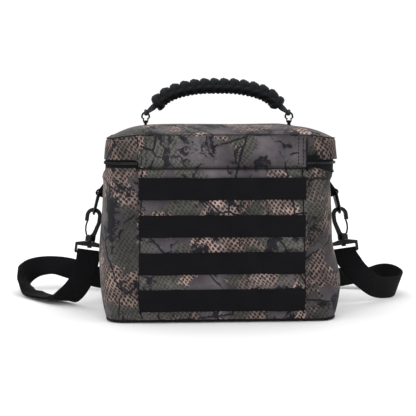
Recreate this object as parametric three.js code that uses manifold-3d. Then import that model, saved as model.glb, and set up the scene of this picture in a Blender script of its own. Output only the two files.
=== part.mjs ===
// Tactical carry bag used as a fire-retardant battery bag: hinged lid, wrap-round zip,
// webbing rows, braided cord handle and a clip-on shoulder strap. Millimetres, +Z up.
// The origin is the bottom centre of the bag. -Y is the webbing side, where the lid hinges.
import * as THREE from 'three';
import { mergeVertices } from 'three/addons/utils/BufferGeometryUtils.js';
import Module from 'manifold-3d';

const wasm = await Module();
wasm.setup();

// Bag body
const bagHalfWidth = 139;
const bagHalfDepth = 95;
const cornerRadius = 24;
const topTaper = 7;
const baseCurl = 14;
const bodyTop = 177;
const curlShare = 0.7;
const pipingStand = 0.6;
const boardThickness = 2;
const seamHalfWidth = 95;
const gap = 0.3;
const fabric = 1.2;
const foam = 5;
const liner = 0.8;

// Base
const baseFabric = 1.5;
const pipingHeight = 3;
const pipingWidth = 3.4;
const baseFoam = 4;

// Lid
const zipBand = 9;
const lidSide = 27;
const lidCrown = 8;
const lidOverhang = 2;
const lidOverlap = 1;
const lidTaper = 3;
const lidFoam = 5;

// Zip
const tape = 0.8;
const tapeSet = 5;
const coilHeight = 1.1;
const coilWidth = 2.6;
const sliderLength = 13;
const sliderHeight = 7;
const sliderPlate = 1.6;
const pullLength = 30;
const pullWidth = 10.5;

// Webbing rows
const webbing = 1.8;
const rowHeight = 25;
const rowPitch = 42.3;
const rowBottom = 14;
const rowCount = 4;

// Handle
const handleRise = 31;
const braidHalfLength = 74;
const braidDrop = 23.5;
const braidHalfWidth = 13;
const braidHalfHeight = 8.6;
const coreRadius = 2.3;
const eyeLength = 2.6;
const eyeWall = 1.5;
const ringWire = 1.2;
const ringHeight = 12.5;
const ringHalfWidth = 4.4;
const ringPlace = 87;
const ringPlay = 0.6;
const tabWidth = 14;
const tabThick = 1.4;
const tabLength = 3;

// Side rings and hooks
const dWire = 1.8;
const dHalfWidth = 12.5;
const dTabWidth = 14;
const ringStandOff = 10.2;
const ringDrop = 35;
const hookOut = 11.5;
const hookDrop = 59.7;
const hookTilt = 8;
const tabSeat = 1.2;
const clawThickness = 5;
const clawOuter = 9.8;
const clawInner = 5.2;
const clawCentre = { x: -0.3, z: 31.5 };
const noseHeight = 24.5;
const gateThickness = 3;
const postRadius = 1.7;
const frameWidth = 35;
const frameThickness = 3.4;
const frameBar = 3;
const frameTop = 5.8;
const frameDrop = 0.6;
const frameSlot = 6.4;

// Shoulder strap
const strapWidth = 28;
const strapThickness = 1.4;
const strapLayer = 2.2;
const barWrap = 3.2;
const sliderPlace = -52;
const sliderBar = 3;
const sliderSide = 3.6;
const sliderBarPitch = 12;

const black = { color: 0x121214, roughness: 0.85, metalness: 0 };
const plastic = { color: 0x161618, roughness: 0.42, metalness: 0 };
const steel = { color: 0x2a2a2c, roughness: 0.35, metalness: 0.9 };
const camo = { color: 0x5f5c58, roughness: 0.9, metalness: 0 };
const lining = { color: 0x8d9194, roughness: 0.55, metalness: 0.2 };
const padding = { color: 0xd8d8d2, roughness: 0.95, metalness: 0 };

const bag = new THREE.Group();

function place(name, geometry, look, parent = bag) {
  const mesh = new THREE.Mesh(geometry, new THREE.MeshStandardMaterial(look));
  mesh.name = name;
  parent.add(mesh);
  return mesh;
}

// Closed geometry to a solid that can be cut and joined, and back again
function solid(geometry) {
  const bare = geometry.clone();
  bare.deleteAttribute('normal');
  bare.deleteAttribute('uv');
  const welded = mergeVertices(bare, 1e-4);
  return new wasm.Manifold(new wasm.Mesh({
    numProp: 3,
    vertProperties: new Float32Array(welded.attributes.position.array),
    triVerts: new Uint32Array(welded.index.array),
  }));
}

function shape(body) {
  const mesh = body.getMesh();
  const geometry = new THREE.BufferGeometry();
  geometry.setAttribute('position', new THREE.BufferAttribute(mesh.vertProperties, 3));
  geometry.setIndex(new THREE.BufferAttribute(mesh.triVerts, 1));
  geometry.computeVertexNormals();
  return geometry;
}

function box(x0, y0, z0, x1, y1, z1) {
  const geometry = new THREE.BoxGeometry(x1 - x0, y1 - y0, z1 - z0);
  return geometry.translate((x0 + x1) / 2, (y0 + y1) / 2, (z0 + z1) / 2);
}

function roundedRect(halfX, halfY, radius) {
  const outline = new THREE.Shape();
  const x = halfX - radius;
  const y = halfY - radius;
  outline.absarc(x, y, radius, 0, Math.PI / 2);
  outline.absarc(-x, y, radius, Math.PI / 2, Math.PI);
  outline.absarc(-x, -y, radius, Math.PI, Math.PI * 1.5);
  outline.absarc(x, -y, radius, Math.PI * 1.5, Math.PI * 2);
  outline.closePath();
  return outline;
}

// A solid through levels of { z, inX, inY }, each an inset of the rounded outline
function stack(halfX, halfY, levels, inset, cornerSteps = 4) {
  const radius = Math.max(cornerRadius - inset, 3);
  const outline = roundedRect(halfX - inset, halfY - inset, radius);
  const steps = levels.length - 1;
  const geometry = new THREE.ExtrudeGeometry(outline, {
    depth: steps, steps, bevelEnabled: false, curveSegments: cornerSteps,
  });
  const points = geometry.attributes.position;
  for (let i = 0; i < points.count; i += 1) {
    const level = levels[Math.round(points.getZ(i))];
    points.setX(i, points.getX(i) * (1 - level.inX / halfX));
    points.setY(i, points.getY(i) * (1 - level.inY / halfY));
    points.setZ(i, level.z);
  }
  return solid(geometry);
}

// The side outline of the bag body: rounded in at the bottom, tapered to the top
const baseTop = baseFabric + gap + pipingHeight;
const wallBottom = baseTop + gap;
const widestHeight = 40;

function bodyInset(z) {
  const roundIn = Math.max(1 - z / widestHeight, 0);
  const lean = Math.max(z - widestHeight, 0) / (bodyTop - widestHeight);
  const curl = baseCurl * roundIn ** 3;
  return { z, inX: curl + topTaper * lean, inY: curl * curlShare };
}

function bodyStack(bottom, top, inset) {
  const heights = [12, 22, widestHeight].filter((z) => z > bottom + 2 && z < top - 2);
  const levels = [bottom, ...heights, top].map(bodyInset);
  return stack(bagHalfWidth, bagHalfDepth, levels, inset);
}

function bodyShell(bottom, top, outer, inner) {
  const past = 0.5;
  const heights = [12, 22, widestHeight].filter((z) => z > bottom + 2 && z < top - 2);
  const levels = [bottom, ...heights, top].map(bodyInset);
  const cut = levels.map((level) => ({ ...level }));
  cut[0].z -= past;
  cut[cut.length - 1].z += past;
  return stack(bagHalfWidth, bagHalfDepth, levels, outer)
    .subtract(stack(bagHalfWidth, bagHalfDepth, cut, inner));
}

// Outer fabric, cut along the seams into front, back and the two sides
const far = bodyTop + bagHalfWidth;
const halfGap = gap / 2;
const wall = bodyShell(wallBottom, bodyTop, 0, fabric);
const middle = seamHalfWidth - halfGap;
place('front_panel', shape(wall.intersect(solid(box(-middle, -far, 0, middle, 0, far)))), camo);
place('back_panel', shape(wall.intersect(solid(box(-middle, 0, 0, middle, far, far)))), camo);
const edge = seamHalfWidth + halfGap;
place('left_side_panel', shape(wall.intersect(solid(box(-far, -far, 0, -edge, far, far)))), camo);
place('right_side_panel', shape(wall.intersect(solid(box(edge, -far, 0, far, far, far)))), camo);

const foamSet = fabric + gap;
const linerSet = foamSet + foam + gap;
const tapeBottom = bodyTop - tapeSet;
const foamTop = tapeBottom - gap;
place('body_foam', shape(bodyShell(wallBottom, foamTop, foamSet, foamSet + foam)), padding);

place('base_panel', shape(bodyStack(0, baseFabric, 0)), camo);
const pipingBottom = baseFabric + gap;
place('base_piping', shape(bodyShell(pipingBottom, baseTop, -pipingStand, pipingWidth - pipingStand)), black);
const boardTop = pipingBottom + boardThickness;
place('base_board', shape(bodyStack(pipingBottom, boardTop, pipingWidth + gap)), plastic);
const padBottom = boardTop + gap;
const padTop = padBottom + baseFoam;
const padInset = linerSet + gap;
const padSlab = bodyStack(padBottom, padTop, padInset);
place('base_foam', shape(padSlab), padding);

// The liner is one dish: walls inside the foam and a floor on the base foam
const floorBottom = padTop + gap;
const dish = bodyStack(floorBottom, foamTop, linerSet)
  .subtract(bodyStack(floorBottom + liner, foamTop + 1, linerSet + liner));
place('body_liner', shape(dish), lining);

// Webbing rows across the front
const rowHalf = seamHalfWidth - 0.5;
for (let row = 0; row < rowCount; row += 1) {
  const low = rowBottom + row * rowPitch;
  const back = -bagHalfDepth - gap;
  place(`webbing_row_${row + 1}`,
    box(-rowHalf, back - webbing, low, rowHalf, back, low + rowHeight), black);
}

// Lid: crowned top, side band, hinge panel at the front, foam and liner
const lidHalfWidth = bagHalfWidth - topTaper + lidOverhang;
const lidHalfDepth = bagHalfDepth + lidOverlap;
const hingeHeight = bodyTop + gap;
const bandBottom = bodyTop + zipBand;
const bandTop = bandBottom + lidSide;
const frontBox = solid(box(-middle, -far, 0, middle, 0, far * 2));
const frontCut = solid(box(-edge, -far, 0, edge, 0, far * 2));

function lidLevel(z, inY = 0) {
  const lean = Math.max(z - bandBottom, 0) / lidSide;
  return { z, inX: lidTaper * lean, inY: inY + lean };
}

function lidBlock(bottom, top, inset, inY) {
  return stack(lidHalfWidth, lidHalfDepth, [lidLevel(bottom, inY), lidLevel(top, inY)], inset);
}

function lidShell(bottom, top, inY) {
  const hole = lidBlock(bottom, top, fabric, inY);
  const below = lidBlock(bottom - 1, bottom + 1, fabric, inY);
  const above = lidBlock(top - 1, top + 1, fabric, inY);
  return lidBlock(bottom, top, 0, inY).subtract(hole).subtract(below).subtract(above);
}

place('lid_band', shape(lidShell(bandBottom, bandTop, 0).subtract(frontCut)), camo);
const hingeWall = lidShell(hingeHeight, bandTop, lidOverlap);
place('lid_hinge_panel', shape(hingeWall.intersect(frontBox)), camo);

// The crown rises in steps from the rim to a flat middle
const crownSteps = [
  { rise: 0, inset: 0 }, { rise: 0.45, inset: 10 }, { rise: 0.8, inset: 24 }, { rise: 1, inset: 36 },
];
const depthShare = lidHalfDepth / lidHalfWidth;

function crown(base, inset, foot) {
  const rim = lidLevel(bandTop);
  const levels = crownSteps.map((step) => ({
    z: base + step.rise * lidCrown,
    inX: rim.inX + step.inset,
    inY: rim.inY + step.inset * depthShare,
  }));
  levels.unshift({ ...levels[0], z: base - foot });
  return stack(lidHalfWidth, lidHalfDepth, levels, inset);
}

const skinFoot = bandTop + gap;
const skin = crown(skinFoot + fabric, 0, fabric).subtract(crown(skinFoot, fabric, fabric));
place('lid_top_panel', shape(skin), camo);
const lidFoamBottom = skinFoot - lidFoam;
const lidFoamSet = fabric + gap + lidOverlap;
place('lid_foam', shape(crown(skinFoot - gap, lidFoamSet, lidFoam)), padding);

const lidLinerSet = lidOverhang + foamSet + tape + gap;
const lidLinerTop = lidFoamBottom - gap * 2;
const lidDish = lidBlock(bandBottom + 1, lidLinerTop, lidLinerSet)
  .subtract(lidBlock(bandBottom, lidLinerTop - liner, lidLinerSet + liner));
place('lid_liner', shape(lidDish), lining);

// Zip: a tape and a coil on each side of the opening, stopped at the hinge panel
const zipMiddle = bodyTop + zipBand / 2 + 0.5;
const rimLevel = bodyInset(bodyTop);

function zipRing(bottom, top, outer, inner) {
  const levels = [{ ...rimLevel, z: bottom }, { ...rimLevel, z: top }];
  const cut = [{ ...rimLevel, z: bottom - 1 }, { ...rimLevel, z: top + 1 }];
  const ring = stack(bagHalfWidth, bagHalfDepth, levels, outer)
    .subtract(stack(bagHalfWidth, bagHalfDepth, cut, inner));
  return shape(ring.subtract(frontCut));
}

const coilSet = 0.6;
const coilLow = zipMiddle - halfGap - coilHeight;
const coilHigh = zipMiddle + halfGap + coilHeight;
place('zip_tape_lower', zipRing(tapeBottom, coilLow - gap, foamSet, foamSet + tape), black);
place('zip_coil_lower', zipRing(coilLow, coilLow + coilHeight, coilSet, coilSet + coilWidth), plastic);
place('zip_coil_upper', zipRing(coilHigh - coilHeight, coilHigh, coilSet, coilSet + coilWidth), plastic);
place('zip_tape_upper', zipRing(coilHigh + gap, bandBottom + tapeSet, foamSet, foamSet + tape), black);

// Sliders meet at the middle of the back and their pulls hang down
const sliderBack = bagHalfDepth - coilSet + gap;
const sliderFace = sliderBack + sliderPlate;
const bridgeHalf = 3.5;
const bridgeReach = 2.6;
const tunnelDepth = 1.4;
const tunnelHalf = 1.2;
const pullThick = 0.9;
const pullNear = sliderFace + (tunnelDepth - pullThick) / 2;
for (const side of [{ name: 'left', sign: -1 }, { name: 'right', sign: 1 }]) {
  const centre = side.sign * (sliderLength / 2 + halfGap);
  const plate = box(-sliderLength / 2, sliderBack, -sliderHeight / 2,
    sliderLength / 2, sliderFace, sliderHeight / 2);
  const bridge = box(-bridgeHalf, sliderFace - 0.2, -2.2, bridgeHalf, sliderFace + bridgeReach, 2.2);
  const tunnel = box(-far, sliderFace, -tunnelHalf, far, sliderFace + tunnelDepth, tunnelHalf);
  const body = solid(plate).add(solid(bridge).subtract(solid(tunnel)));
  place(`zip_slider_${side.name}`, shape(body), plastic).position.set(centre, 0, zipMiddle);
  const tongue = solid(box(-pullWidth / 2, pullNear, -pullLength,
    pullWidth / 2, pullNear + pullThick, pullThick / 2));
  const window = solid(box(-bridgeHalf - gap, 0, -3, bridgeHalf + gap, far, -pullThick / 2));
  place(`zip_pull_${side.name}`, shape(tongue.subtract(window)), plastic)
    .position.set(centre, 0, zipMiddle);
}

// A closed wire ring in the XZ plane. reach(angle) is the distance of its middle line
function wireRing(wire, reach, around = 24, sides = 6) {
  const base = 10;
  const profile = [];
  for (let i = 0; i <= sides; i += 1) {
    const turn = (i / sides) * Math.PI * 2;
    profile.push(new THREE.Vector2(base + wire * Math.cos(turn), wire * Math.sin(turn)));
  }
  const geometry = new THREE.LatheGeometry(profile, around);
  const points = geometry.attributes.position;
  for (let i = 0; i < points.count; i += 1) {
    const x = points.getX(i);
    const z = points.getZ(i);
    const angle = Math.atan2(z, x);
    const distance = reach(angle) + Math.hypot(x, z) - base;
    points.setX(i, distance * Math.cos(angle));
    points.setZ(i, distance * Math.sin(angle));
  }
  return shape(solid(geometry));
}

// A round bar along a list of points
function bar(points, halfWide, halfHigh, steps, sides = 8) {
  const outline = new THREE.Shape();
  outline.absellipse(0, 0, halfWide, halfHigh, 0, Math.PI * 2);
  return new THREE.ExtrudeGeometry(outline, {
    steps, bevelEnabled: false, curveSegments: sides,
    extrudePath: new THREE.CatmullRomCurve3(points),
  });
}

const at = (x, y, z) => new THREE.Vector3(x, y, z);

// Carrying handle: tabs on the lid, teardrop rings and a braided arch on a cord core
const crownTop = skinFoot + fabric + lidCrown;
const tabHole = ringWire + ringPlay;
const tabOuter = tabHole + tabThick;
const pinHeight = crownTop + gap + tabOuter;
const ringMiddle = pinHeight + ringHeight / 2;
const eyeHeight = pinHeight + ringHeight;

function teardrop(angle) {
  const down = Math.max(-Math.sin(angle), 0);
  const upper = Math.hypot(ringHalfWidth * Math.cos(angle), ringHeight / 2 * Math.sin(angle));
  return upper + down ** 4 * (ringHeight / 2 - upper) * 0.5;
}

for (const side of [{ name: 'left', sign: -1 }, { name: 'right', sign: 1 }]) {
  const x = side.sign * ringPlace;
  const loop = new THREE.Shape();
  loop.moveTo(-tabWidth / 2, -tabOuter);
  loop.lineTo(tabWidth / 2, -tabOuter);
  loop.lineTo(tabOuter, 0);
  loop.absarc(0, 0, tabOuter, 0, Math.PI);
  loop.closePath();
  const hole = new THREE.Path();
  hole.absarc(0, 0, tabHole, 0, Math.PI * 2);
  loop.holes.push(hole);
  const tab = new THREE.ExtrudeGeometry(loop, {
    depth: tabLength, bevelEnabled: false, curveSegments: 6,
  });
  tab.translate(0, 0, -tabLength / 2).rotateX(Math.PI / 2).rotateZ(Math.PI / 2);
  place(`handle_tab_${side.name}`, shape(solid(tab)), black).position.set(x, 0, pinHeight);
  place(`handle_ring_${side.name}`, wireRing(ringWire, teardrop), steel)
    .position.set(x, 0, ringMiddle);
}

const handleTop = eyeHeight + handleRise;

function archPoints(sign) {
  return [
    at(sign * braidHalfLength, 0, handleTop - braidDrop), at(sign * 66, 0, handleTop - 14.5),
    at(sign * 52, 0, handleTop - 7), at(sign * 27, 0, handleTop - 1.2),
  ];
}
const braidRoute = [...archPoints(-1), at(0, 0, handleTop), ...archPoints(1).reverse()];
const linkStart = (sign) => at(sign * (ringPlace - 0.6), 0, eyeHeight + tabHole + eyeWall / 2);
const coreRoute = [linkStart(-1), ...braidRoute, linkStart(1)];
const braid = solid(bar(braidRoute, braidHalfWidth, braidHalfHeight, 26, 5));
const channel = solid(bar(coreRoute, coreRadius + gap, coreRadius + gap, 36, 4));
let core = solid(bar(coreRoute, coreRadius, coreRadius, 36, 4));

// A cylinder that lies along X, for the eyes at the ends of the core
function crossPin(radius, length, x, z) {
  const geometry = new THREE.CylinderGeometry(radius, radius, length, 12);
  return solid(geometry.rotateZ(Math.PI / 2).translate(x, 0, z));
}
for (const x of [-ringPlace, ringPlace]) {
  core = core.add(crossPin(tabHole + eyeWall, eyeLength, x, eyeHeight));
}
for (const x of [-ringPlace, ringPlace]) {
  core = core.subtract(crossPin(tabHole, eyeLength * 4, x, eyeHeight));
}
place('handle_braid', shape(braid.subtract(channel)), black);
place('handle_core', shape(core), black);

// Side rings hang from webbing tabs, and hooks clip on to them
const turnOf = (degrees) => degrees * Math.PI / 180;
const ringHeightOnSide = bodyTop - ringDrop;
const sideAtRing = bagHalfWidth - bodyInset(ringHeightOnSide).inX;
const dPlace = { x: sideAtRing + ringStandOff, z: ringHeightOnSide };
const hookPlace = { x: dPlace.x + hookOut, z: dPlace.z - hookDrop };

const clawPlace = clawCentre.z + clawInner - dWire - 0.9;
const tiltOf = turnOf(hookTilt);
const ringBottom = {
  x: hookPlace.x - clawPlace * Math.sin(tiltOf) + clawCentre.x * Math.cos(tiltOf),
  z: hookPlace.z + clawPlace * Math.cos(tiltOf) + clawCentre.x * Math.sin(tiltOf),
};
const dTilt = Math.atan2(ringBottom.x - dPlace.x, dPlace.z - ringBottom.z);
const dLength = Math.hypot(ringBottom.x - dPlace.x, dPlace.z - ringBottom.z);

// The D: flat along the top, where the tab holds it, and round below
function dOutline(angle) {
  const x = Math.cos(angle);
  const z = Math.sin(angle);
  const half = dLength / 2;
  const flat = half / Math.max(z, 1e-6);
  const side = dHalfWidth / Math.max(Math.abs(x), 1e-6);
  const round = 1 / Math.hypot(x / dHalfWidth, z / half);
  return z > 0 ? Math.min(flat, side, round * 1.3) : round;
}

// Hook claw: a block with a shank that arches over to the nose
function clawShape() {
  const { x, z } = clawCentre;
  const outline = new THREE.Shape();
  outline.moveTo(6, 0);
  outline.lineTo(6, 6.3);
  outline.lineTo(1.8, 6.3);
  outline.lineTo(-1.2, 10);
  outline.lineTo(x - clawInner, 24);
  outline.lineTo(x - clawInner, z);
  outline.absarc(x, z, clawInner, Math.PI, 0, true);
  outline.lineTo(x + clawInner, noseHeight);
  outline.lineTo(x + clawOuter, noseHeight);
  outline.lineTo(x + clawOuter, z);
  outline.absarc(x, z, clawOuter, 0, Math.PI);
  outline.lineTo(x - clawOuter, 23);
  outline.lineTo(-6, 7);
  outline.lineTo(-6, 0);
  outline.closePath();
  return outline;
}

function slab(outline, thickness) {
  const geometry = new THREE.ExtrudeGeometry(outline, {
    depth: thickness, bevelEnabled: false, curveSegments: 8,
  });
  return geometry.translate(0, 0, -thickness / 2).rotateX(Math.PI / 2);
}

function outlineOf(points) {
  return new THREE.Shape(points.map(([x, z]) => new THREE.Vector2(x, z)));
}

const headRadius = 2.9;
const headTop = -frameTop - 0.9;
const postTop = 0.3;
const frameLow = -frameDrop - frameTop - frameSlot - frameBar;
const barMiddle = frameLow + frameBar / 2;
const frameShoulder = -frameDrop - frameTop * 0.45;

function post(radius, bottom, top) {
  const geometry = new THREE.CylinderGeometry(radius, radius, top - bottom, 14);
  return solid(geometry.rotateX(Math.PI / 2).translate(0, 0, (top + bottom) / 2));
}

for (const side of [{ name: 'left', sign: -1, turn: Math.PI }, { name: 'right', sign: 1, turn: 0 }]) {
  const tab = new THREE.Shape();
  const reach = dWire + gap + webbing;
  const panelX = sideAtRing + tabSeat - dPlace.x;
  tab.moveTo(panelX, -reach * 2);
  tab.lineTo(0, -reach);
  tab.absarc(0, 0, reach, -Math.PI / 2, Math.PI / 2);
  tab.lineTo(panelX, 16);
  tab.closePath();
  const hole = new THREE.Path();
  hole.absarc(0, 0, dWire + gap, 0, Math.PI * 2);
  tab.holes.push(hole);
  const group = new THREE.Group();
  group.rotation.z = side.turn;
  bag.add(group);
  place(`ring_tab_${side.name}`, slab(tab, dTabWidth), black, group)
    .position.set(dPlace.x, 0, dPlace.z);

  const swing = new THREE.Group();
  swing.position.set(dPlace.x, 0, dPlace.z);
  swing.rotation.y = -dTilt;
  group.add(swing);
  const ring = wireRing(dWire, dOutline, 28, 6);
  ring.rotateZ(Math.PI / 2);
  place(`d_ring_${side.name}`, ring, steel, swing).position.set(0, 0, -dLength / 2);

  const hook = new THREE.Group();
  hook.position.set(hookPlace.x, 0, hookPlace.z);
  hook.rotation.y = -tiltOf;
  group.add(hook);
  const claw = solid(slab(clawShape(), clawThickness)).subtract(post(postRadius, -1, postTop));
  place(`hook_claw_${side.name}`, shape(claw), plastic, hook);
  const rivet = post(postRadius - gap / 2, headTop, postTop - 0.2)
    .add(post(headRadius, headTop, headTop + 1.4).translate(0, 0, -1.4));
  place(`hook_rivet_${side.name}`, shape(rivet), steel, hook);
  const gate = outlineOf([[4.2, 7], [6.2, 7], [8, 13], [8.3, 18.5], [7.4, 24.2], [5.4, 24.2],
    [6.4, 18.3], [6.2, 13.4]]);
  place(`hook_gate_${side.name}`, slab(gate, gateThickness), steel, hook);

  const frame = new THREE.Shape();
  const half = frameWidth / 2;
  frame.moveTo(half - 1.5, frameLow);
  frame.lineTo(half, frameLow + 1.5);
  frame.lineTo(half, frameShoulder);
  frame.lineTo(7, -frameDrop);
  frame.lineTo(-7, -frameDrop);
  frame.lineTo(-half, frameShoulder);
  frame.lineTo(-half, frameLow + 1.5);
  frame.lineTo(-half + 1.5, frameLow);
  frame.closePath();
  const slot = outlineOf([[-half + frameBar, frameLow + frameBar], [half - frameBar, frameLow + frameBar],
    [half - frameBar, -frameDrop - frameTop], [-half + frameBar, -frameDrop - frameTop]]);
  frame.holes.push(slot);
  const loop = solid(slab(frame, frameThickness)).subtract(post(postRadius + gap, headTop, 1));
  place(`strap_frame_${side.name}`, shape(loop), plastic, hook);
}

// Shoulder strap: one flat webbing through both frames, doubled back to its slider
const barPlace = {
  x: hookPlace.x - barMiddle * Math.sin(tiltOf),
  z: hookPlace.z + barMiddle * Math.cos(tiltOf),
};
const edgeUp = strapWidth / 2 + 0.5;
const runBehind = bagHalfDepth + 26;

function wrapPoint(sign, angle) {
  const up = barWrap * Math.sin(angle);
  return {
    at: at(sign * (barPlace.x - up * Math.sin(tiltOf)), -barWrap * Math.cos(angle),
      barPlace.z + up * Math.cos(tiltOf)),
    across: at(Math.cos(tiltOf), 0, sign * Math.sin(tiltOf)),
  };
}

const step = (x, y, z, ax, ay, az) => ({ at: at(x, y, z), across: at(ax, ay, az).normalize() });
const leftOf = (out, ...rest) => step(-hookPlace.x - out, ...rest);
const rightOf = (out, ...rest) => step(hookPlace.x + out, ...rest);

// The slider stands on the floor behind the bag. The webbing goes under its outer bars,
// up through its slots and over the middle bar, where the other end is sewn round
const sliderHalf = strapWidth / 2 + sliderSide + 0.6;
const sliderUp = sliderHalf + 0.5;
const sliderY = runBehind + sliderBar / 2 + gap + strapThickness / 2 + 0.3;
const sliderUnder = runBehind - sliderY;
const overBar = barWrap + strapThickness + gap;
const weave = [
  [-sliderBarPitch, sliderUnder], [-sliderBarPitch * 0.62, sliderUnder * 0.8], [-overBar, 0.6],
  [-overBar * 0.72, overBar * 0.72], [0, overBar], [overBar * 0.72, overBar * 0.72],
  [overBar, 0.6], [sliderBarPitch * 0.62, sliderUnder * 0.8], [sliderBarPitch, sliderUnder],
];

const leftRun = [
  leftOf(3.1, -3, 60, 0.99, 0, -0.12), leftOf(7, -1.6, 45, 0.97, 0, -0.2),
  leftOf(14.5, 3, 29, 0.93, -0.05, -0.33), leftOf(26.5, 12, 14, 0.88, 0.1, -0.42),
  leftOf(42.5, 28, 5.2, 0.86, 0.42, -0.16), leftOf(60.5, 50, 3.4, 0.84, 0.52, -0.1),
  leftOf(79.5, 76, 3.6, 0.8, 0.58, -0.05), leftOf(91.5, 95, 11, 0.7, 0.2, -0.62),
  leftOf(96.5, 117, 21.5, 0.3, -0.3, -0.9), leftOf(84.5, 133, 28.5, 0, -0.6, -0.8),
  leftOf(58.5, 137, 31, 0, -0.72, -0.7), leftOf(27.5, 131, 25, 0, -0.45, -0.9),
  leftOf(-5.5, 125, edgeUp + 1.5, 0, -0.1, -1),
];
const besideSlider = [-sliderBarPitch * 2.6, sliderBarPitch * 2.6];
const backRun = [
  step(sliderPlace + besideSlider[0] - 22, runBehind, edgeUp + 2, 0, 0, -1),
  step(sliderPlace + besideSlider[0], runBehind, sliderUp, 0, 0, -1),
  ...weave.map(([t, n]) => step(sliderPlace + t, sliderY + n, sliderUp, 0, 0, -1)),
  step(sliderPlace + besideSlider[1], runBehind, sliderUp, 0, 0, -1),
  step(30, runBehind, edgeUp + 1, 0, 0, -1), step(110, runBehind, edgeUp, 0, 0, -1),
];
const rightRun = [
  rightOf(4.5, 121, 14, 0, -0.5, -0.87), rightOf(47.5, 115, 17, 0, -0.88, -0.47),
  rightOf(79.5, 99, 22, -0.12, -0.2, -0.97), rightOf(88.5, 77, 18.5, -0.3, 0, -0.95),
  rightOf(83.5, 56, edgeUp + 0.5, -0.34, 0, -0.94), rightOf(69.5, 39, edgeUp + 0.3, -0.24, 0, -0.97),
  rightOf(48.5, 23, 18.7, -0.35, 0, -0.94), rightOf(30.5, 10, 31, -0.62, 0, -0.78),
  rightOf(16.5, 2, 44, -0.84, 0, -0.54), rightOf(8.7, -1.6, 54.5, -0.95, 0, -0.3),
  rightOf(3.5, -3, 62, -0.99, 0, -0.13),
];

function ribbon(route, width, thickness, perStep) {
  const middle = new THREE.CatmullRomCurve3(route.map((point) => point.at));
  const across = new THREE.CatmullRomCurve3(route.map((point) => point.across));
  const steps = (route.length - 1) * perStep;
  const geometry = new THREE.BoxGeometry(width, thickness, 1, 1, 1, steps);
  const points = geometry.attributes.position;
  for (let i = 0; i < points.count; i += 1) {
    const u = Math.min(Math.max(points.getZ(i) + 0.5, 0), 1);
    const along = middle.getTangent(u);
    const sideways = across.getPoint(u);
    sideways.addScaledVector(along, -sideways.dot(along)).normalize();
    const out = along.clone().cross(sideways);
    const point = middle.getPoint(u)
      .addScaledVector(sideways, points.getX(i)).addScaledVector(out, points.getY(i));
    points.setXYZ(i, point.x, point.y, point.z);
  }
  return geometry;
}

// A run moved off the main one, by a distance for each of its points
function beside(run, distances) {
  const curve = new THREE.CatmullRomCurve3(run.map((point) => point.at));
  return run.map((point, i) => {
    const along = curve.getTangent(i / (run.length - 1));
    const out = along.cross(point.across).normalize();
    const distance = distances[Math.min(i, distances.length - 1)];
    return { at: point.at.clone().addScaledVector(out, -distance), across: point.across.clone() };
  });
}

const wrapAngles = [0, 0.25, 0.5, 0.75, 1].map((part) => part * Math.PI);
const leftWrap = wrapAngles.map((angle) => wrapPoint(-1, angle)).reverse();
const rightWrap = wrapAngles.map((angle) => wrapPoint(1, angle));
rightWrap.forEach((point) => point.across.negate());
const parting = [4.4, 2.9, strapLayer];
const doubled = beside([...leftRun, ...backRun.slice(0, 3)], parting);
const sewnRound = [-0.5, -0.2, 0.1, 0.4, 0.7].map((part) => {
  const angle = part * Math.PI;
  return step(sliderPlace + barWrap * Math.cos(angle), sliderY + barWrap * Math.sin(angle),
    sliderUp, 0, 0, -1);
});
const returned = [...doubled, ...sewnRound].reverse();
const sewnEnd = beside([...rightRun].reverse(), parting.map((part) => -part)).slice(0, 3);
const strapRoute = [...returned, ...leftWrap, ...leftRun, ...backRun, ...rightRun,
  ...rightWrap, ...sewnEnd];
place('shoulder_strap', shape(solid(ribbon(strapRoute, strapWidth, strapThickness, 2))), black);

const halfSlide = sliderBarPitch + sliderBar / 2;
const slotHigh = strapWidth / 2 + 0.6;
const slotNear = sliderBar / 2;
const slotFar = sliderBarPitch - sliderBar / 2;
const sliderPlateBody = solid(box(-halfSlide, -slotNear, -sliderHalf, halfSlide, slotNear, sliderHalf))
  .subtract(solid(box(-slotFar, -far, -slotHigh, -slotNear, far, slotHigh)))
  .subtract(solid(box(slotNear, -far, -slotHigh, slotFar, far, slotHigh)));
place('strap_slider', shape(sliderPlateBody), plastic).position.set(sliderPlace, sliderY, sliderUp);

export default bag;
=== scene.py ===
import bmesh
import bpy
import math
from mathutils import Matrix, Vector, noise


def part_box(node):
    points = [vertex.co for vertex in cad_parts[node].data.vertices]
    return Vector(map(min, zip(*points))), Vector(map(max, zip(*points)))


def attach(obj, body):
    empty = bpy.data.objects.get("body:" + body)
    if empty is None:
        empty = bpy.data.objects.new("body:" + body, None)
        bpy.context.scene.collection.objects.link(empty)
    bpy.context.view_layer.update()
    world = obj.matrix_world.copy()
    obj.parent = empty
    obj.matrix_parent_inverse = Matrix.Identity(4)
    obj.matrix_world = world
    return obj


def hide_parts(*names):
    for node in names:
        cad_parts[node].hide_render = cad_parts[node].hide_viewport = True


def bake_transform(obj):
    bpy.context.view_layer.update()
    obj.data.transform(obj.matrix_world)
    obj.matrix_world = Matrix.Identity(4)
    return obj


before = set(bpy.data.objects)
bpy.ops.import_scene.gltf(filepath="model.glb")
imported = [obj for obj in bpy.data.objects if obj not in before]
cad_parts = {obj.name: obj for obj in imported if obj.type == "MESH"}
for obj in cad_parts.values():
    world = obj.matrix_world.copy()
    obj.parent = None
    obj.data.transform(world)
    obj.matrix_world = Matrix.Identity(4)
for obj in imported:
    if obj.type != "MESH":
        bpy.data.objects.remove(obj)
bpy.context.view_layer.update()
mm = 0.001
bpy.context.scene.view_settings.view_transform = "Standard"


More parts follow.
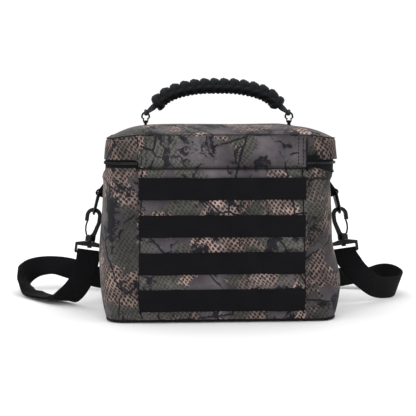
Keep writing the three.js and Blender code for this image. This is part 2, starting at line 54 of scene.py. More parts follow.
studio = {
    "cameraPlace": (-0.073, -1.192, 0.2416),
    "cameraTurn": 2.95,  # degrees to the right of straight ahead
    "cameraDrop": 5.71,
    "lens": 84.9,
    "floorSize": 60,
    "sky": 1.08,
    "topPower": 20,
    "topSize": 3,
    "frontPower": 9,
    "frontSize": 2.4,
}


def makeStudio():
    scene = bpy.context.scene
    lens = bpy.data.cameras.new("camera")
    lens.lens = studio["lens"]
    lens.sensor_width = 36
    lens.clip_end = 200
    camera = bpy.data.objects.new("camera", lens)
    camera.location = studio["cameraPlace"]
    camera.rotation_euler = (math.radians(90 - studio["cameraDrop"]), 0, -math.radians(studio["cameraTurn"]))
    scene.collection.objects.link(camera)
    scene.camera = camera

    world = bpy.data.worlds.new("studio")
    world.use_nodes = True
    world.node_tree.nodes["Background"].inputs["Color"].default_value = (1, 1, 1, 1)
    world.node_tree.nodes["Background"].inputs["Strength"].default_value = studio["sky"]
    scene.world = world

    for name, place, power, size in (
        ("topLight", (-0.3, -0.2, 2.3), studio["topPower"], studio["topSize"]),
        ("frontLight", (-1.2, -2.6, 1.5), studio["frontPower"], studio["frontSize"]),
    ):
        light = bpy.data.lights.new(name, "AREA")
        light.energy = power
        light.size = size
        lamp = bpy.data.objects.new(name, light)
        lamp.location = place
        lamp.rotation_euler = (Vector((0, 0, 0.12)) - Vector(place)).to_track_quat("-Z", "Y").to_euler()
        scene.collection.objects.link(lamp)

    clearSelection()
    bpy.ops.mesh.primitive_plane_add(size=studio["floorSize"], location=(0, 0, 0))
    floor = bpy.context.active_object
    floor.name = "floor"
    floor.data.materials.append(plainPaper())
    print("studio ready")


def clearSelection():
    if bpy.context.mode != "OBJECT":
        bpy.ops.object.mode_set(mode="OBJECT")
    bpy.ops.object.select_all(action="DESELECT")


def pick(piece):
    clearSelection()
    piece.select_set(True)
    bpy.context.view_layer.objects.active = piece
    return piece


def applyAll(piece):
    pick(piece)
    for modifier in list(piece.modifiers):
        bpy.ops.object.modifier_apply(modifier=modifier.name)
    return piece


def settle(piece):
    pick(piece)
    bpy.ops.object.transform_apply(location=True, rotation=True, scale=True)
    return piece


def joinPieces(parts):
    clearSelection()
    for part in parts:
        part.select_set(True)
    bpy.context.view_layer.objects.active = parts[0]
    if len(parts) > 1:
        bpy.ops.object.join()
    return parts[0]


def copyPiece(piece):
    twin = piece.copy()
    twin.data = piece.data.copy()
    bpy.context.scene.collection.objects.link(twin)
    return twin


def finishPiece(piece, name, body, slot, material, replaced=(), smooth=None):
    piece.name = name
    piece.data.name = name
    piece.data.materials.clear()
    for each in material if isinstance(material, (list, tuple)) else [material]:
        piece.data.materials.append(each)
    pick(piece)
    if smooth is None:
        bpy.ops.object.shade_smooth()
    else:
        bpy.ops.object.shade_smooth_by_angle(angle=math.radians(smooth))
    if body:
        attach(piece, body)
    if replaced:
        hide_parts(*replaced)
    return piece


def paintNode(node, material):
    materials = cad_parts[node].data.materials
    materials.clear()
    materials.append(material)


def addModifier(piece, kind, **settings):
    modifier = piece.modifiers.new(kind.lower(), kind)
    for key, value in settings.items():
        setattr(modifier, key, value)
    return modifier


def subdivide(piece):
    addModifier(piece, "SUBSURF", levels=1, render_levels=1)
    applyAll(piece)


def moveVertices(piece, change):
    for vertex in piece.data.vertices:
        vertex.co = change(vertex.co.copy())
    piece.data.update()


# Faces turned outwards, with near points merged first where a distance is given
def recalculate(piece, merge=0):
    pick(piece)
    bpy.ops.object.mode_set(mode="EDIT")
    bpy.ops.mesh.select_all(action="SELECT")
    if merge:
        bpy.ops.mesh.remove_doubles(threshold=merge)
    bpy.ops.mesh.normals_make_consistent(inside=False)
    bpy.ops.object.mode_set(mode="OBJECT")


def writeUv(piece, placeOf):
    mesh = piece.data
    layer = mesh.uv_layers.get("cloth") or mesh.uv_layers.new(name="cloth")
    for face in mesh.polygons:
        for index in face.loop_indices:
            layer.data[index].uv = placeOf(mesh.vertices[mesh.loops[index].vertex_index].co, face)


# A route is a list of stations: the distance, the place, and the along, across and out directions
def routeStations(points, acrosses, steps=8, closed=False):
    count = len(points)
    places, sides = [], []
    last = count if closed else count - 1
    for i in range(last):
        p = [Vector(points[k % count] if closed else points[min(max(k, 0), count - 1)])
             for k in (i - 1, i, i + 1, i + 2)]
        if not closed and i == 0:
            p[0] = p[1] * 2 - p[2]
        if not closed and i == last - 1:
            p[3] = p[2] * 2 - p[1]
        gaps = [max((p[k + 1] - p[k]).length ** 0.5, 1e-5) for k in range(3)]
        before = ((p[1] - p[0]) / gaps[0] - (p[2] - p[0]) / (gaps[0] + gaps[1])
                  + (p[2] - p[1]) / gaps[1]) * gaps[1]
        after = ((p[2] - p[1]) / gaps[1] - (p[3] - p[1]) / (gaps[1] + gaps[2])
                 + (p[3] - p[2]) / gaps[2]) * gaps[1]
        a, b = Vector(acrosses[i % count]), Vector(acrosses[(i + 1) % count])
        for k in range(steps):
            t = k / steps
            places.append(
                p[1] * (2 * t**3 - 3 * t**2 + 1) + before * (t**3 - 2 * t**2 + t)
                + p[2] * (3 * t**2 - 2 * t**3) + after * (t**3 - t**2)
            )
            ease = t * t * (3 - 2 * t)
            sides.append(a.lerp(b, ease))
    if closed:
        places.append(places[0].copy())
        sides.append(sides[0].copy())
    else:
        places.append(Vector(points[-1]))
        sides.append(Vector(acrosses[-1]))
    stations, run = [], 0.0
    for i, place in enumerate(places):
        if i:
            run += (place - places[i - 1]).length
        ahead = places[min(i + 1, len(places) - 1)] - places[max(i - 1, 0)]
        if closed and i in (0, len(places) - 1):
            ahead = places[1] - places[-2]
        along = ahead.normalized()
        across = (sides[i] - along * sides[i].dot(along)).normalized()
        stations.append((run, place, along, across, along.cross(across)))
    return stations


def stationAt(stations, distance):
    low, high = 0, len(stations) - 1
    while high - low > 1:
        middle = (low + high) // 2
        if stations[middle][0] <= distance:
            low = middle
        else:
            high = middle
    a, b = stations[low], stations[high]
    span = max(b[0] - a[0], 1e-9)
    t = (distance - a[0]) / span
    inside = min(max(t, 0), 1)
    return [a[1].lerp(b[1], t)] + [a[k].lerp(b[k], inside).normalized() for k in (2, 3, 4)]


# Local x runs along the route, y across it and z outwards
def follow(piece, stations):
    def change(point):
        place, _, across, out = stationAt(stations, point.x)
        return place + across * point.y + out * point.z
    moveVertices(piece, change)
    return piece


# A flat strip with its length on x, split finely enough to bend
def makeStrip(length, width, thickness, lengthCuts, widthCuts=4, edge=0.3 * mm):
    clearSelection()
    bpy.ops.mesh.primitive_grid_add(x_subdivisions=lengthCuts, y_subdivisions=widthCuts, size=1)
    strip = bpy.context.active_object
    strip.scale = (length, width, 1)
    strip.location = (length / 2, 0, 0)
    settle(strip)
    addModifier(strip, "SOLIDIFY", thickness=thickness, offset=0)
    if edge:
        addModifier(strip, "BEVEL", width=edge, segments=2, limit_method="ANGLE",
                    angle_limit=math.radians(50))
    applyAll(strip)
    writeUv(strip, lambda co, face: (co.x, co.y))
    return strip


def makeTube(length, radius, rings, sides=10):
    clearSelection()
    bpy.ops.mesh.primitive_cylinder_add(vertices=sides, radius=radius, depth=length, end_fill_type="NGON")
    tube = bpy.context.active_object
    tube.rotation_euler = (0, math.pi / 2, 0)
    tube.location = (length / 2, 0, 0)
    settle(tube)
    bpy.ops.object.mode_set(mode="EDIT")
    for i in range(1, rings):
        bpy.ops.mesh.select_all(action="SELECT")
        bpy.ops.mesh.bisect(plane_co=(length * i / rings, 0, 0), plane_no=(1, 0, 0))
    bpy.ops.object.mode_set(mode="OBJECT")
    return tube


# A copy of a hard part with its triangles merged and its edges softened
def refine(node, bevel, segments=2):
    clearSelection()
    twin = copyPiece(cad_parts[node])
    for key in list(twin.keys()):
        del twin[key]
    twin.parent = None
    twin.matrix_world = Matrix.Identity(4)
    twin.hide_render = False
    twin.hide_viewport = False
    pick(twin)
    bpy.ops.object.mode_set(mode="EDIT")
    bpy.ops.mesh.select_all(action="SELECT")
    bpy.ops.mesh.remove_doubles(threshold=0.02 * mm)
    bpy.ops.mesh.dissolve_limited(angle_limit=math.radians(1))
    bpy.ops.object.mode_set(mode="OBJECT")
    if bevel:
        addModifier(twin, "BEVEL", width=bevel, segments=segments, limit_method="ANGLE",
                    angle_limit=math.radians(30), use_clamp_overlap=True)
        applyAll(twin)
    return twin


def linear(colour):
    return tuple((c / 255 / 12.92 if c <= 10.3 else ((c / 255 + 0.055) / 1.055) ** 2.4)
                 for c in colour) + (1.0,)


def newFinish(name):
    material = bpy.data.materials.new(name)
    material.use_nodes = True
    return material, material.node_tree, material.node_tree.nodes["Principled BSDF"]


def addNode(tree, kind, inputs=None, **settings):
    node = tree.nodes.new("ShaderNode" + kind)
    for key, value in settings.items():
        setattr(node, key, value)
    for key, value in (inputs or {}).items():
        if isinstance(value, bpy.types.NodeSocket):
            tree.links.new(value, node.inputs[key])
        else:
            node.inputs[key].default_value = value
    return node


def calc(tree, operation, a, b=0.0, c=0.0, clamp=False):
    node = addNode(tree, "Math", {0: a, 1: b, 2: c}, operation=operation, use_clamp=clamp)
    return node.outputs[0]


def times(tree, a, b):
    return calc(tree, "MULTIPLY", a, b)


def plus(tree, a, b, clamp=False):
    return calc(tree, "ADD", a, b, clamp=clamp)


# A colour is a socket, a linear colour, or three numbers from 0 to 255
def mixColour(tree, factor, a, b, way="MIX"):
    a, b = (linear(each) if isinstance(each, tuple) and len(each) == 3 else each for each in (a, b))
    node = addNode(tree, "Mix", {0: factor, 6: a, 7: b}, data_type="RGBA", blend_type=way)
    return node.outputs[2]


def span(tree, value, low, high, start=0.0, end=1.0):
    node = addNode(tree, "MapRange", {0: value, 1: low, 2: high, 3: start, 4: end})
    return node.outputs[0]


def clothPlace(tree, turn=0.0, scale=(1, 1, 1), shift=(0, 0, 0), source=None):
    if source is None:
        source = addNode(tree, "UVMap", uv_map="cloth").outputs[0]
    return addNode(tree, "Mapping", {0: source, 1: shift, 2: (0, 0, math.radians(turn)), 3: scale}).outputs[0]


def noiseOf(tree, place, size, detail=2.0, roughness=0.5, dimensions="2D"):
    node = addNode(tree, "TexNoise",
                   {"Vector": place, "Scale": 1 / size, "Detail": detail, "Roughness": roughness},
                   noise_dimensions=dimensions)
    return node.outputs[0]


def driftOf(tree, place, size, detail, roughness=0.5):
    node = addNode(tree, "TexNoise",
                   {"Vector": place, "Scale": 1 / size, "Detail": detail, "Roughness": roughness},
                   noise_dimensions="2D")
    return node.outputs[1]


def bumpTo(tree, shader, height, strength, distance):
    bump = addNode(tree, "Bump", {"Height": height, "Strength": strength, "Distance": distance})
    tree.links.new(bump.outputs[0], shader.inputs["Normal"])
    return bump


def plainPaper():
    material, tree, shader = newFinish("paper")
    place = addNode(tree, "TexCoord").outputs["Object"]
    grain = noiseOf(tree, place, 0.4, 3, dimensions="3D")
    tree.links.new(mixColour(tree, grain, (0.93, 0.93, 0.93, 1), (0.95, 0.95, 0.95, 1)),
                   shader.inputs["Base Color"])
    shader.inputs["Roughness"].default_value = 1
    shader.inputs["Specular IOR Level"].default_value = 0
    return material


camo = {
    "patch": 44 * mm,
    "ground": (66, 62, 67),
    "groundLight": (104, 97, 101),
    "green": (88, 87, 82),
    "greenDark": (52, 52, 51),
    "beige": (176, 150, 140),
    "beigeDeep": (124, 107, 101),
    "net": (52, 49, 53),
    "black": (33, 32, 38),
    "netPitch": 3.7 * mm,
    "crackPitch": 70 * mm,
    # painted shade on the side panels, more on the right side panel and on the sides of the lid
    "sideShade": 0.78,
    "rightSideShade": 0.84,
    "lidSideShade": 0.8,
    "splotch": 24 * mm,
    "drift": 24 * mm,
    "driftReach": 27 * mm,
    "ripple": 30 * mm,
    "rippleReach": 7 * mm,
    "jag": 8 * mm,
    "wear": 5 * mm,
    "mottle": 38 * mm,
    "spray": 9 * mm,
    "fade": 22 * mm,
    "speck": 6 * mm,
    "drape": 55 * mm,
    "weave": 0.9 * mm,
}


def makeCamo():
    material, tree, shader = newFinish("camo cloth")
    place = addNode(tree, "UVMap", uv_map="cloth").outputs[0]
    drift = driftOf(tree, place, camo["drift"], 5, 0.62)
    warped = shifted(tree, place, drift, camo["driftReach"])

    # Patches with straight and slanting borders
    def patches(size, turn, shift):
        seat = clothPlace(tree, turn, (1, 1, 1), shift, warped)
        cell = addNode(tree, "TexVoronoi", {"Vector": seat, "Scale": 1 / size, "Randomness": 0.85},
                       voronoi_dimensions="2D", distance="CHEBYCHEV")
        return addNode(tree, "SeparateColor", {0: cell.outputs["Color"]})

    first = patches(camo["patch"], 17, (0.013, 0.031, 0))
    second = patches(camo["patch"] * 0.62, -31, (0.07, 0.012, 0))

    # The slanted net of dark ovals
    slant = clothPlace(tree, 0, (1.0, 0.82, 1), (0, 0, 0),
                       shifted(tree, place, driftOf(tree, place, camo["ripple"], 1), camo["rippleReach"]))
    turned = clothPlace(tree, 45, (1, 1, 1), (0, 0, 0), shearOf(tree, slant, 0.32))
    dots = addNode(tree, "TexVoronoi", {"Vector": turned, "Scale": 1 / camo["netPitch"], "Randomness": 0.16},
                   voronoi_dimensions="2D")
    wear = noiseOf(tree, place, camo["wear"], 2)
    dotSize = span(tree, wear, 0.3, 0.7, 0.30, 0.48)
    dot = calc(tree, "SUBTRACT", dotSize, dots.outputs["Distance"])
    net = span(tree, dot, -0.05, 0.06)

    mottle = noiseOf(tree, place, camo["mottle"], 4, 0.55)
    ground = mixColour(tree, span(tree, mottle, 0.3, 0.7), camo["ground"], camo["groundLight"])
    greenMesh = mixColour(tree, times(tree, net, 0.75), camo["green"], camo["greenDark"])
    beigeTone = mixColour(tree, span(tree, noiseOf(tree, place, 17 * mm, 2), 0.35, 0.65),
                          camo["beigeDeep"], camo["beige"])
    beigeMesh = mixColour(tree, net, beigeTone, camo["net"])

    # Borders fade where the print was sprayed
    spray = noiseOf(tree, place, camo["spray"], 4, 0.6)
    fade = noiseOf(tree, place, camo["fade"], 3, 0.6)
    fuzz = plus(tree, calc(tree, "MULTIPLY_ADD", spray, 0.3, -0.15),
                calc(tree, "MULTIPLY_ADD", fade, 0.5, -0.25))
    greenMask = span(tree, plus(tree, first.outputs[0], fuzz), 0.14, 0.27)
    beigeMask = span(tree, plus(tree, first.outputs[0], fuzz), 0.46, 0.62)
    colour = mixColour(tree, greenMask, ground, greenMesh)
    colour = mixColour(tree, beigeMask, colour, beigeMesh)
    spotGreen = times(tree, span(tree, second.outputs[1], 0.76, 0.79), 0.85)
    colour = mixColour(tree, spotGreen, colour, greenMesh)
    spotBeige = span(tree, plus(tree, second.outputs[2], fuzz), 0.76, 0.86)
    colour = mixColour(tree, spotBeige, colour, beigeMesh)
    spotGround = span(tree, plus(tree, second.outputs[0], fuzz), 0.84, 0.92)
    colour = mixColour(tree, spotGround, colour, ground)

    # Ragged dark splotches and fine specks
    ragged = noiseOf(tree, warped, camo["splotch"], 9, 0.68)
    where = noiseOf(tree, clothPlace(tree, 0, (1, 1, 1), (0.31, 0.17, 0), place), 60 * mm, 1)
    splotch = span(tree, plus(tree, ragged, times(tree, where, 0.35)), 0.735, 0.765)
    specks = noiseOf(tree, place, camo["speck"], 5, 0.62)
    speck = times(tree, span(tree, specks, 0.665, 0.69), span(tree, where, 0.45, 0.55))
    colour = mixColour(tree, calc(tree, "MAXIMUM", splotch, speck), colour, camo["black"])

    # Thin jagged cracks
    crackSeat = shifted(tree, place, drift, camo["jag"])
    crack = addNode(tree, "TexVoronoi",
                    {"Vector": crackSeat, "Scale": 1 / camo["crackPitch"], "Randomness": 1.0},
                    voronoi_dimensions="2D", feature="DISTANCE_TO_EDGE").outputs["Distance"]
    thin = span(tree, crack, 0.010, 0.022, 1, 0)
    broken = span(tree, noiseOf(tree, place, 30 * mm, 2), 0.43, 0.47)
    colour = mixColour(tree, times(tree, thin, broken), colour, camo["black"])

    # Printed tone drifts, and the plain weave shows through
    drape = noiseOf(tree, place, camo["drape"], 3)
    colour = toned(tree, colour, span(tree, drape, 0.3, 0.68, 0.58, 1.16))
    grain = noiseOf(tree, place, camo["weave"], 2)
    colour = toned(tree, colour, span(tree, grain, 0.25, 0.75, 0.84, 1.16))
    # Painted shade: the front and back panels are painted a little lighter, the side panels darker, the right
    # side panel darker still and the sides of the lid darker again
    run = addNode(tree, "SeparateXYZ", {0: place})
    sideShade = span(tree, calc(tree, "ABSOLUTE", run.outputs[0]), 0.74, 0.80, 1.06, camo["sideShade"])
    rightSideShade = span(tree, run.outputs[0], 0.84, 0.94, 1, camo["rightSideShade"])
    lidSideShade = calc(tree, "MAXIMUM", span(tree, run.outputs[1], 0.287, 0.305, 1, camo["lidSideShade"]),
                   span(tree, calc(tree, "ABSOLUTE", run.outputs[0]), 0.74, 0.80, 1, 0))
    sideShade = times(tree, sideShade, times(tree, rightSideShade, lidSideShade))
    colour = toned(tree, colour, sideShade)
    tree.links.new(colour, shader.inputs["Base Color"])
    weaveBump(tree, shader, place, camo["weave"], 0.12 * mm)
    shader.inputs["Roughness"].default_value = 0.86
    shader.inputs["Specular IOR Level"].default_value = 0.16
    shader.inputs["Sheen Weight"].default_value = 0.06
    return material


def toned(tree, colour, value):
    grey = addNode(tree, "CombineColor", {0: value, 1: value, 2: value}).outputs[0]
    return mixColour(tree, 1.0, colour, grey, "MULTIPLY")


# Moves a place by a drift, up to about half the reach each way
def shifted(tree, place, drift, reach):
    centred = addNode(tree, "VectorMath", {0: drift, 1: (0.5, 0.5, 0.5)}, operation="SUBTRACT").outputs[0]
    scaled = addNode(tree, "VectorMath", {0: centred, 3: reach}, operation="SCALE").outputs[0]
    return addNode(tree, "VectorMath", {0: place, 1: scaled}, operation="ADD").outputs[0]


def shearOf(tree, place, amount):
    parts = addNode(tree, "SeparateXYZ", {0: place})
    leaned = calc(tree, "MULTIPLY_ADD", parts.outputs[1], amount, parts.outputs[0])
    return addNode(tree, "CombineXYZ", {0: leaned, 1: parts.outputs[1]}).outputs[0]


def weaveBump(tree, shader, place, pitch, depth):
    parts = addNode(tree, "SeparateXYZ", {0: place})
    warp = calc(tree, "SINE", times(tree, parts.outputs[0], 2 * math.pi / pitch))
    weft = calc(tree, "SINE", times(tree, parts.outputs[1], 2 * math.pi / pitch))
    height = times(tree, warp, weft)
    return bumpTo(tree, shader, height, 0.5, depth)


# Black nylon webbing: fine cross ribs, a flat edge on each side and a faint drift of tone
def makeWebbing(name, dark, light, width, pitch=1.15 * mm):
    material, tree, shader = newFinish(name)
    place = addNode(tree, "UVMap", uv_map="cloth").outputs[0]
    parts = addNode(tree, "SeparateXYZ", {0: place})
    ribs = calc(tree, "SINE", times(tree, parts.outputs[0], 2 * math.pi / pitch))
    columns = calc(tree, "SINE", times(tree, parts.outputs[1], 2 * math.pi / (pitch * 1.6)))
    height = times(tree, plus(tree, ribs, 1.4), plus(tree, columns, 1.8))
    border = span(tree, calc(tree, "ABSOLUTE", parts.outputs[1]), width / 2 - 2.2 * mm, width / 2 - 1.6 * mm,
                  1, 0.3)
    height = times(tree, height, border)
    bumpTo(tree, shader, height, 0.6, 0.16 * mm)
    tone = noiseOf(tree, place, 24 * mm, 4)
    thread = span(tree, height, 0, 6, 0, 0.6)
    amount = plus(tree, times(tree, tone, 0.5), times(tree, thread, 0.8), clamp=True)
    tree.links.new(mixColour(tree, amount, dark, light), shader.inputs["Base Color"])
    shader.inputs["Roughness"].default_value = 0.8
    shader.inputs["Specular IOR Level"].default_value = 0.12
    return material


# A finish on object places, for moulded, coated or corded pieces
def makeDark(name, dark, light, rough, specular, grainSize, grainDepth, metal=0.0, weave=0.0):
    material, tree, shader = newFinish(name)
    place = addNode(tree, "TexCoord").outputs["Object"]
    tone = noiseOf(tree, place, 9 * mm, 3, dimensions="3D")
    grain = noiseOf(tree, place, grainSize, 2, dimensions="3D")
    if weave:
        parts = addNode(tree, "SeparateXYZ",
                        {0: addNode(tree, "Mapping", {0: place, 2: (0.6, 0.5, 0.78)}).outputs[0]})
        waves = [calc(tree, "SINE", times(tree, parts.outputs[k], 2 * math.pi / weave)) for k in range(3)]
        grain = span(tree, times(tree, times(tree, waves[0], waves[1]), waves[2]), -0.5, 0.5)
    bumpTo(tree, shader, grain, 0.6, grainDepth)
    amount = plus(tree, times(tree, tone, 0.6), times(tree, grain, 0.5), clamp=True)
    tree.links.new(mixColour(tree, amount, dark, light), shader.inputs["Base Color"])
    rub = span(tree, tone, 0.2, 0.8, rough - 0.08, rough + 0.08)
    tree.links.new(rub, shader.inputs["Roughness"])
    shader.inputs["Specular IOR Level"].default_value = specular
    shader.inputs["Metallic"].default_value = metal
    return material


def makeSilverLining():
    material, tree, shader = newFinish("silver lining")
    place = addNode(tree, "UVMap", uv_map="cloth").outputs[0]
    crinkle = addNode(tree, "TexVoronoi", {"Vector": place, "Scale": 1 / (9 * mm), "Randomness": 1.0},
                      voronoi_dimensions="2D", feature="DISTANCE_TO_EDGE").outputs["Distance"]
    tone = noiseOf(tree, place, 40 * mm, 4)
    amount = plus(tree, times(tree, tone, 0.7), times(tree, crinkle, 0.5), clamp=True)
    tree.links.new(mixColour(tree, amount, (146, 149, 152), (200, 202, 205)), shader.inputs["Base Color"])
    parts = addNode(tree, "SeparateXYZ", {0: place})
    warp = calc(tree, "SINE", times(tree, parts.outputs[0], 2 * math.pi / (1.6 * mm)))
    weft = calc(tree, "SINE", times(tree, parts.outputs[1], 2 * math.pi / (1.6 * mm)))
    height = plus(tree, times(tree, warp, weft), times(tree, crinkle, 6))
    bumpTo(tree, shader, height, 0.5, 0.2 * mm)
    shader.inputs["Roughness"].default_value = 0.42
    shader.inputs["Metallic"].default_value = 0.55
    return material


makeStudio()
camoCloth = makeCamo()
rowWebbing = makeWebbing("row webbing", (3, 3, 5), (22, 22, 26), 25 * mm)
strapWebbing = makeWebbing("strap webbing", (0, 0, 1), (11, 12, 16), 28 * mm, 1.3 * mm)
zipCloth = makeWebbing("zip cloth", (4, 4, 5), (22, 22, 25), 9 * mm, 0.8 * mm)
cordSheath = makeDark("cord sheath", (1, 2, 4), (20, 22, 26), 0.6, 0.16, 1 * mm, 0.25 * mm, weave=1.5 * mm)
linkWebbing = makeDark("link webbing", (30, 31, 34), (66, 67, 71), 0.75, 0.2, 1 * mm, 0.2 * mm, weave=1.2
                       * mm)
blackThread = makeDark("black thread", (4, 4, 6), (22, 22, 25), 0.7, 0.12, 0.4 * mm, 0.1 * mm)
hookMoulding = makeDark("hook moulding", (3, 3, 4), (12, 12, 14), 0.42, 0.22, 0.7 * mm, 0.03 * mm)
coatedWire = makeDark("coated wire", (10, 10, 12), (30, 30, 33), 0.36, 0.3, 2 * mm, 0.02 * mm, metal=0.4)
zipMoulding = makeDark("zip moulding", (9, 9, 10), (32, 32, 34), 0.4, 0.4, 0.5 * mm, 0.03 * mm)
boardPlastic = makeDark("board plastic", (40, 40, 40), (66, 66, 66), 0.6, 0.3, 3 * mm, 0.1 * mm)
silverLining = makeSilverLining()
print("finishes ready")


body = {
    "halfWidth": 139 * mm,
    "halfDepth": 95 * mm,
    "corner": 24 * mm,
    "taper": 7 * mm,
    "curl": 8 * mm,
    "curlShare": 0.45,
    "widest": 40 * mm,
    "top": 177 * mm,
    "seam": 95 * mm,
    "wall": 1.2 * mm,
    "cut": 9 * mm,
    "sidePuff": 4.0 * mm,
    "backPuff": 2.6 * mm,
    "frontPuff": 0.7 * mm,
    "pressure": 5.0,
    "seamDepth": 1.3 * mm,
    "pinch": 7.5 * mm,
    "shoulder": 2.4 * mm,
    "crease": 1.3 * mm,
    "pucker": 0.9 * mm,
    "foldDepth": 3.2 * mm,
    "foldWidth": 3.6 * mm,
}
rowLows = [(14 + 42.3 * row) * mm for row in range(4)]
rowHeight = 25 * mm
puffFrames = 20


def insetAt(z):
    curl = body["curl"] * max(1 - max(z, 0) / body["widest"], 0) ** 3
    lean = max(z - body["widest"], 0) / (body["top"] - body["widest"])
    return curl + body["taper"] * lean, curl * body["curlShare"]


# A box with rounded upright edges, cut into a fine grid
def roundedBlock(low, high, radius, planes, segments=8):
    clearSelection()
    low, high = Vector(low), Vector(high)
    bpy.ops.mesh.primitive_cube_add(size=1, location=(low + high) / 2)
    block = bpy.context.active_object
    block.scale = high - low
    settle(block)
    bpy.ops.object.mode_set(mode="EDIT")
    bpy.ops.mesh.select_mode(type="EDGE")
    bpy.ops.mesh.select_all(action="DESELECT")
    mesh = bmesh.from_edit_mesh(block.data)
    for edge in mesh.edges:
        edge.select = abs(edge.verts[0].co.z - edge.verts[1].co.z) > 1 * mm
    mesh.select_flush_mode()
    bmesh.update_edit_mesh(block.data)
    bpy.ops.mesh.bevel(offset=radius, segments=segments)
    for axis, places in enumerate(planes):
        normal = [0, 0, 0]
        normal[axis] = 1
        for place in places:
            point = [0, 0, 0]
            point[axis] = place
            bpy.ops.mesh.select_all(action="SELECT")
            bpy.ops.mesh.bisect(plane_co=point, plane_no=normal)
    bpy.ops.object.mode_set(mode="OBJECT")
    return block


def evenPlaces(low, high, pitch, extra=()):
    count = max(round((high - low) / pitch), 1)
    places = [low + (high - low) * i / count for i in range(1, count)]
    places = [p for p in places if all(abs(p - e) > pitch * 0.45 for e in extra)]
    return sorted(places + list(extra))


def deleteFaces(piece, unwanted):
    pick(piece)
    bpy.ops.object.mode_set(mode="EDIT")
    bpy.ops.mesh.select_mode(type="FACE")
    bpy.ops.mesh.select_all(action="DESELECT")
    mesh = bmesh.from_edit_mesh(piece.data)
    for face in mesh.faces:
        face.select = unwanted(face.calc_center_median(), face.normal)
    bmesh.update_edit_mesh(piece.data)
    bpy.ops.mesh.delete(type="FACE")
    bpy.ops.object.mode_set(mode="OBJECT")


# Fills the cloth with air, and lets no point move further than its limit
def puff(piece, held, limitOf, pressure):
    start = [vertex.co.copy() for vertex in piece.data.vertices]
    normals = [vertex.normal.copy() for vertex in piece.data.vertices]
    group = piece.vertex_groups.new(name="held")
    for vertex in piece.data.vertices:
        if held(vertex.co):
            group.add([vertex.index], 1.0, "REPLACE")
    cloth = addModifier(piece, "CLOTH")
    cloth.settings.quality = 6
    cloth.settings.mass = 0.3
    cloth.settings.tension_stiffness = 12
    cloth.settings.compression_stiffness = 8
    cloth.settings.shear_stiffness = 4
    cloth.settings.bending_stiffness = 0.4
    cloth.settings.use_pressure = True
    cloth.settings.uniform_pressure_force = pressure
    cloth.settings.vertex_group_mass = "held"
    cloth.settings.effector_weights.gravity = 0
    cloth.collision_settings.use_collision = False
    cloth.point_cache.frame_start = 1
    cloth.point_cache.frame_end = puffFrames
    for number in range(1, puffFrames + 1):
        bpy.context.scene.frame_set(number)
    applyAll(piece)
    bpy.context.scene.frame_set(1)
    piece.vertex_groups.clear()
    worst = 0.0
    for vertex, old, normal in zip(piece.data.vertices, start, normals):
        limit = limitOf(old, normal)
        move = vertex.co - old
        worst = max(worst, move.length)
        if move.length > limit:
            move = move * (limit / move.length)
        vertex.co = old + move
    piece.data.update()
    print("puffed", piece.name, "furthest", round(worst / mm, 2), "mm")


def smoothStep(value, low, high):
    t = min(max((value - low) / (high - low), 0), 1)
    return t * t * (3 - 2 * t)


# How far the cloth sinks beside the fold between body and lid
def foldSink(away):
    return body["foldDepth"] * math.exp(-((away / body["foldWidth"]) ** 2))


# Distance round the outline from the middle of the front, and the panel it is on
def aroundOutline(x, y, halfX, halfY, radius):
    innerX, innerY = halfX - radius, halfY - radius
    if abs(x) <= innerX and y < 0:
        return x
    side = 1 if x > 0 else -1
    x = abs(x)
    quarter = radius * math.pi / 2
    if x > innerX and y < -innerY:
        return side * (innerX + radius * math.atan2(x - innerX, -(y + innerY)))
    if x > innerX and y <= innerY:
        return side * (innerX + quarter + y + innerY)
    if x > innerX:
        return side * (innerX + quarter + 2 * innerY + radius * math.atan2(y - innerY, x - innerX))
    return side * (2 * innerX + 2 * quarter + 2 * innerY - x)


def panelUv(co, face, top, topShift):
    middle, normal = face.center, face.normal
    if abs(normal.z) > 0.75 and (middle.z > top or middle.z < 4 * mm):
        return co.x + topShift[0], co.y + topShift[1]
    if abs(middle.x) < body["seam"]:
        if middle.y < 0:
            return co.x, co.z
        return -co.x + 0.61, co.z + 0.05
    run = aroundOutline(co.x, co.y, body["halfWidth"], body["halfDepth"], body["corner"])
    return run + (0.9 if run > 0 else -0.7), co.z + 0.11


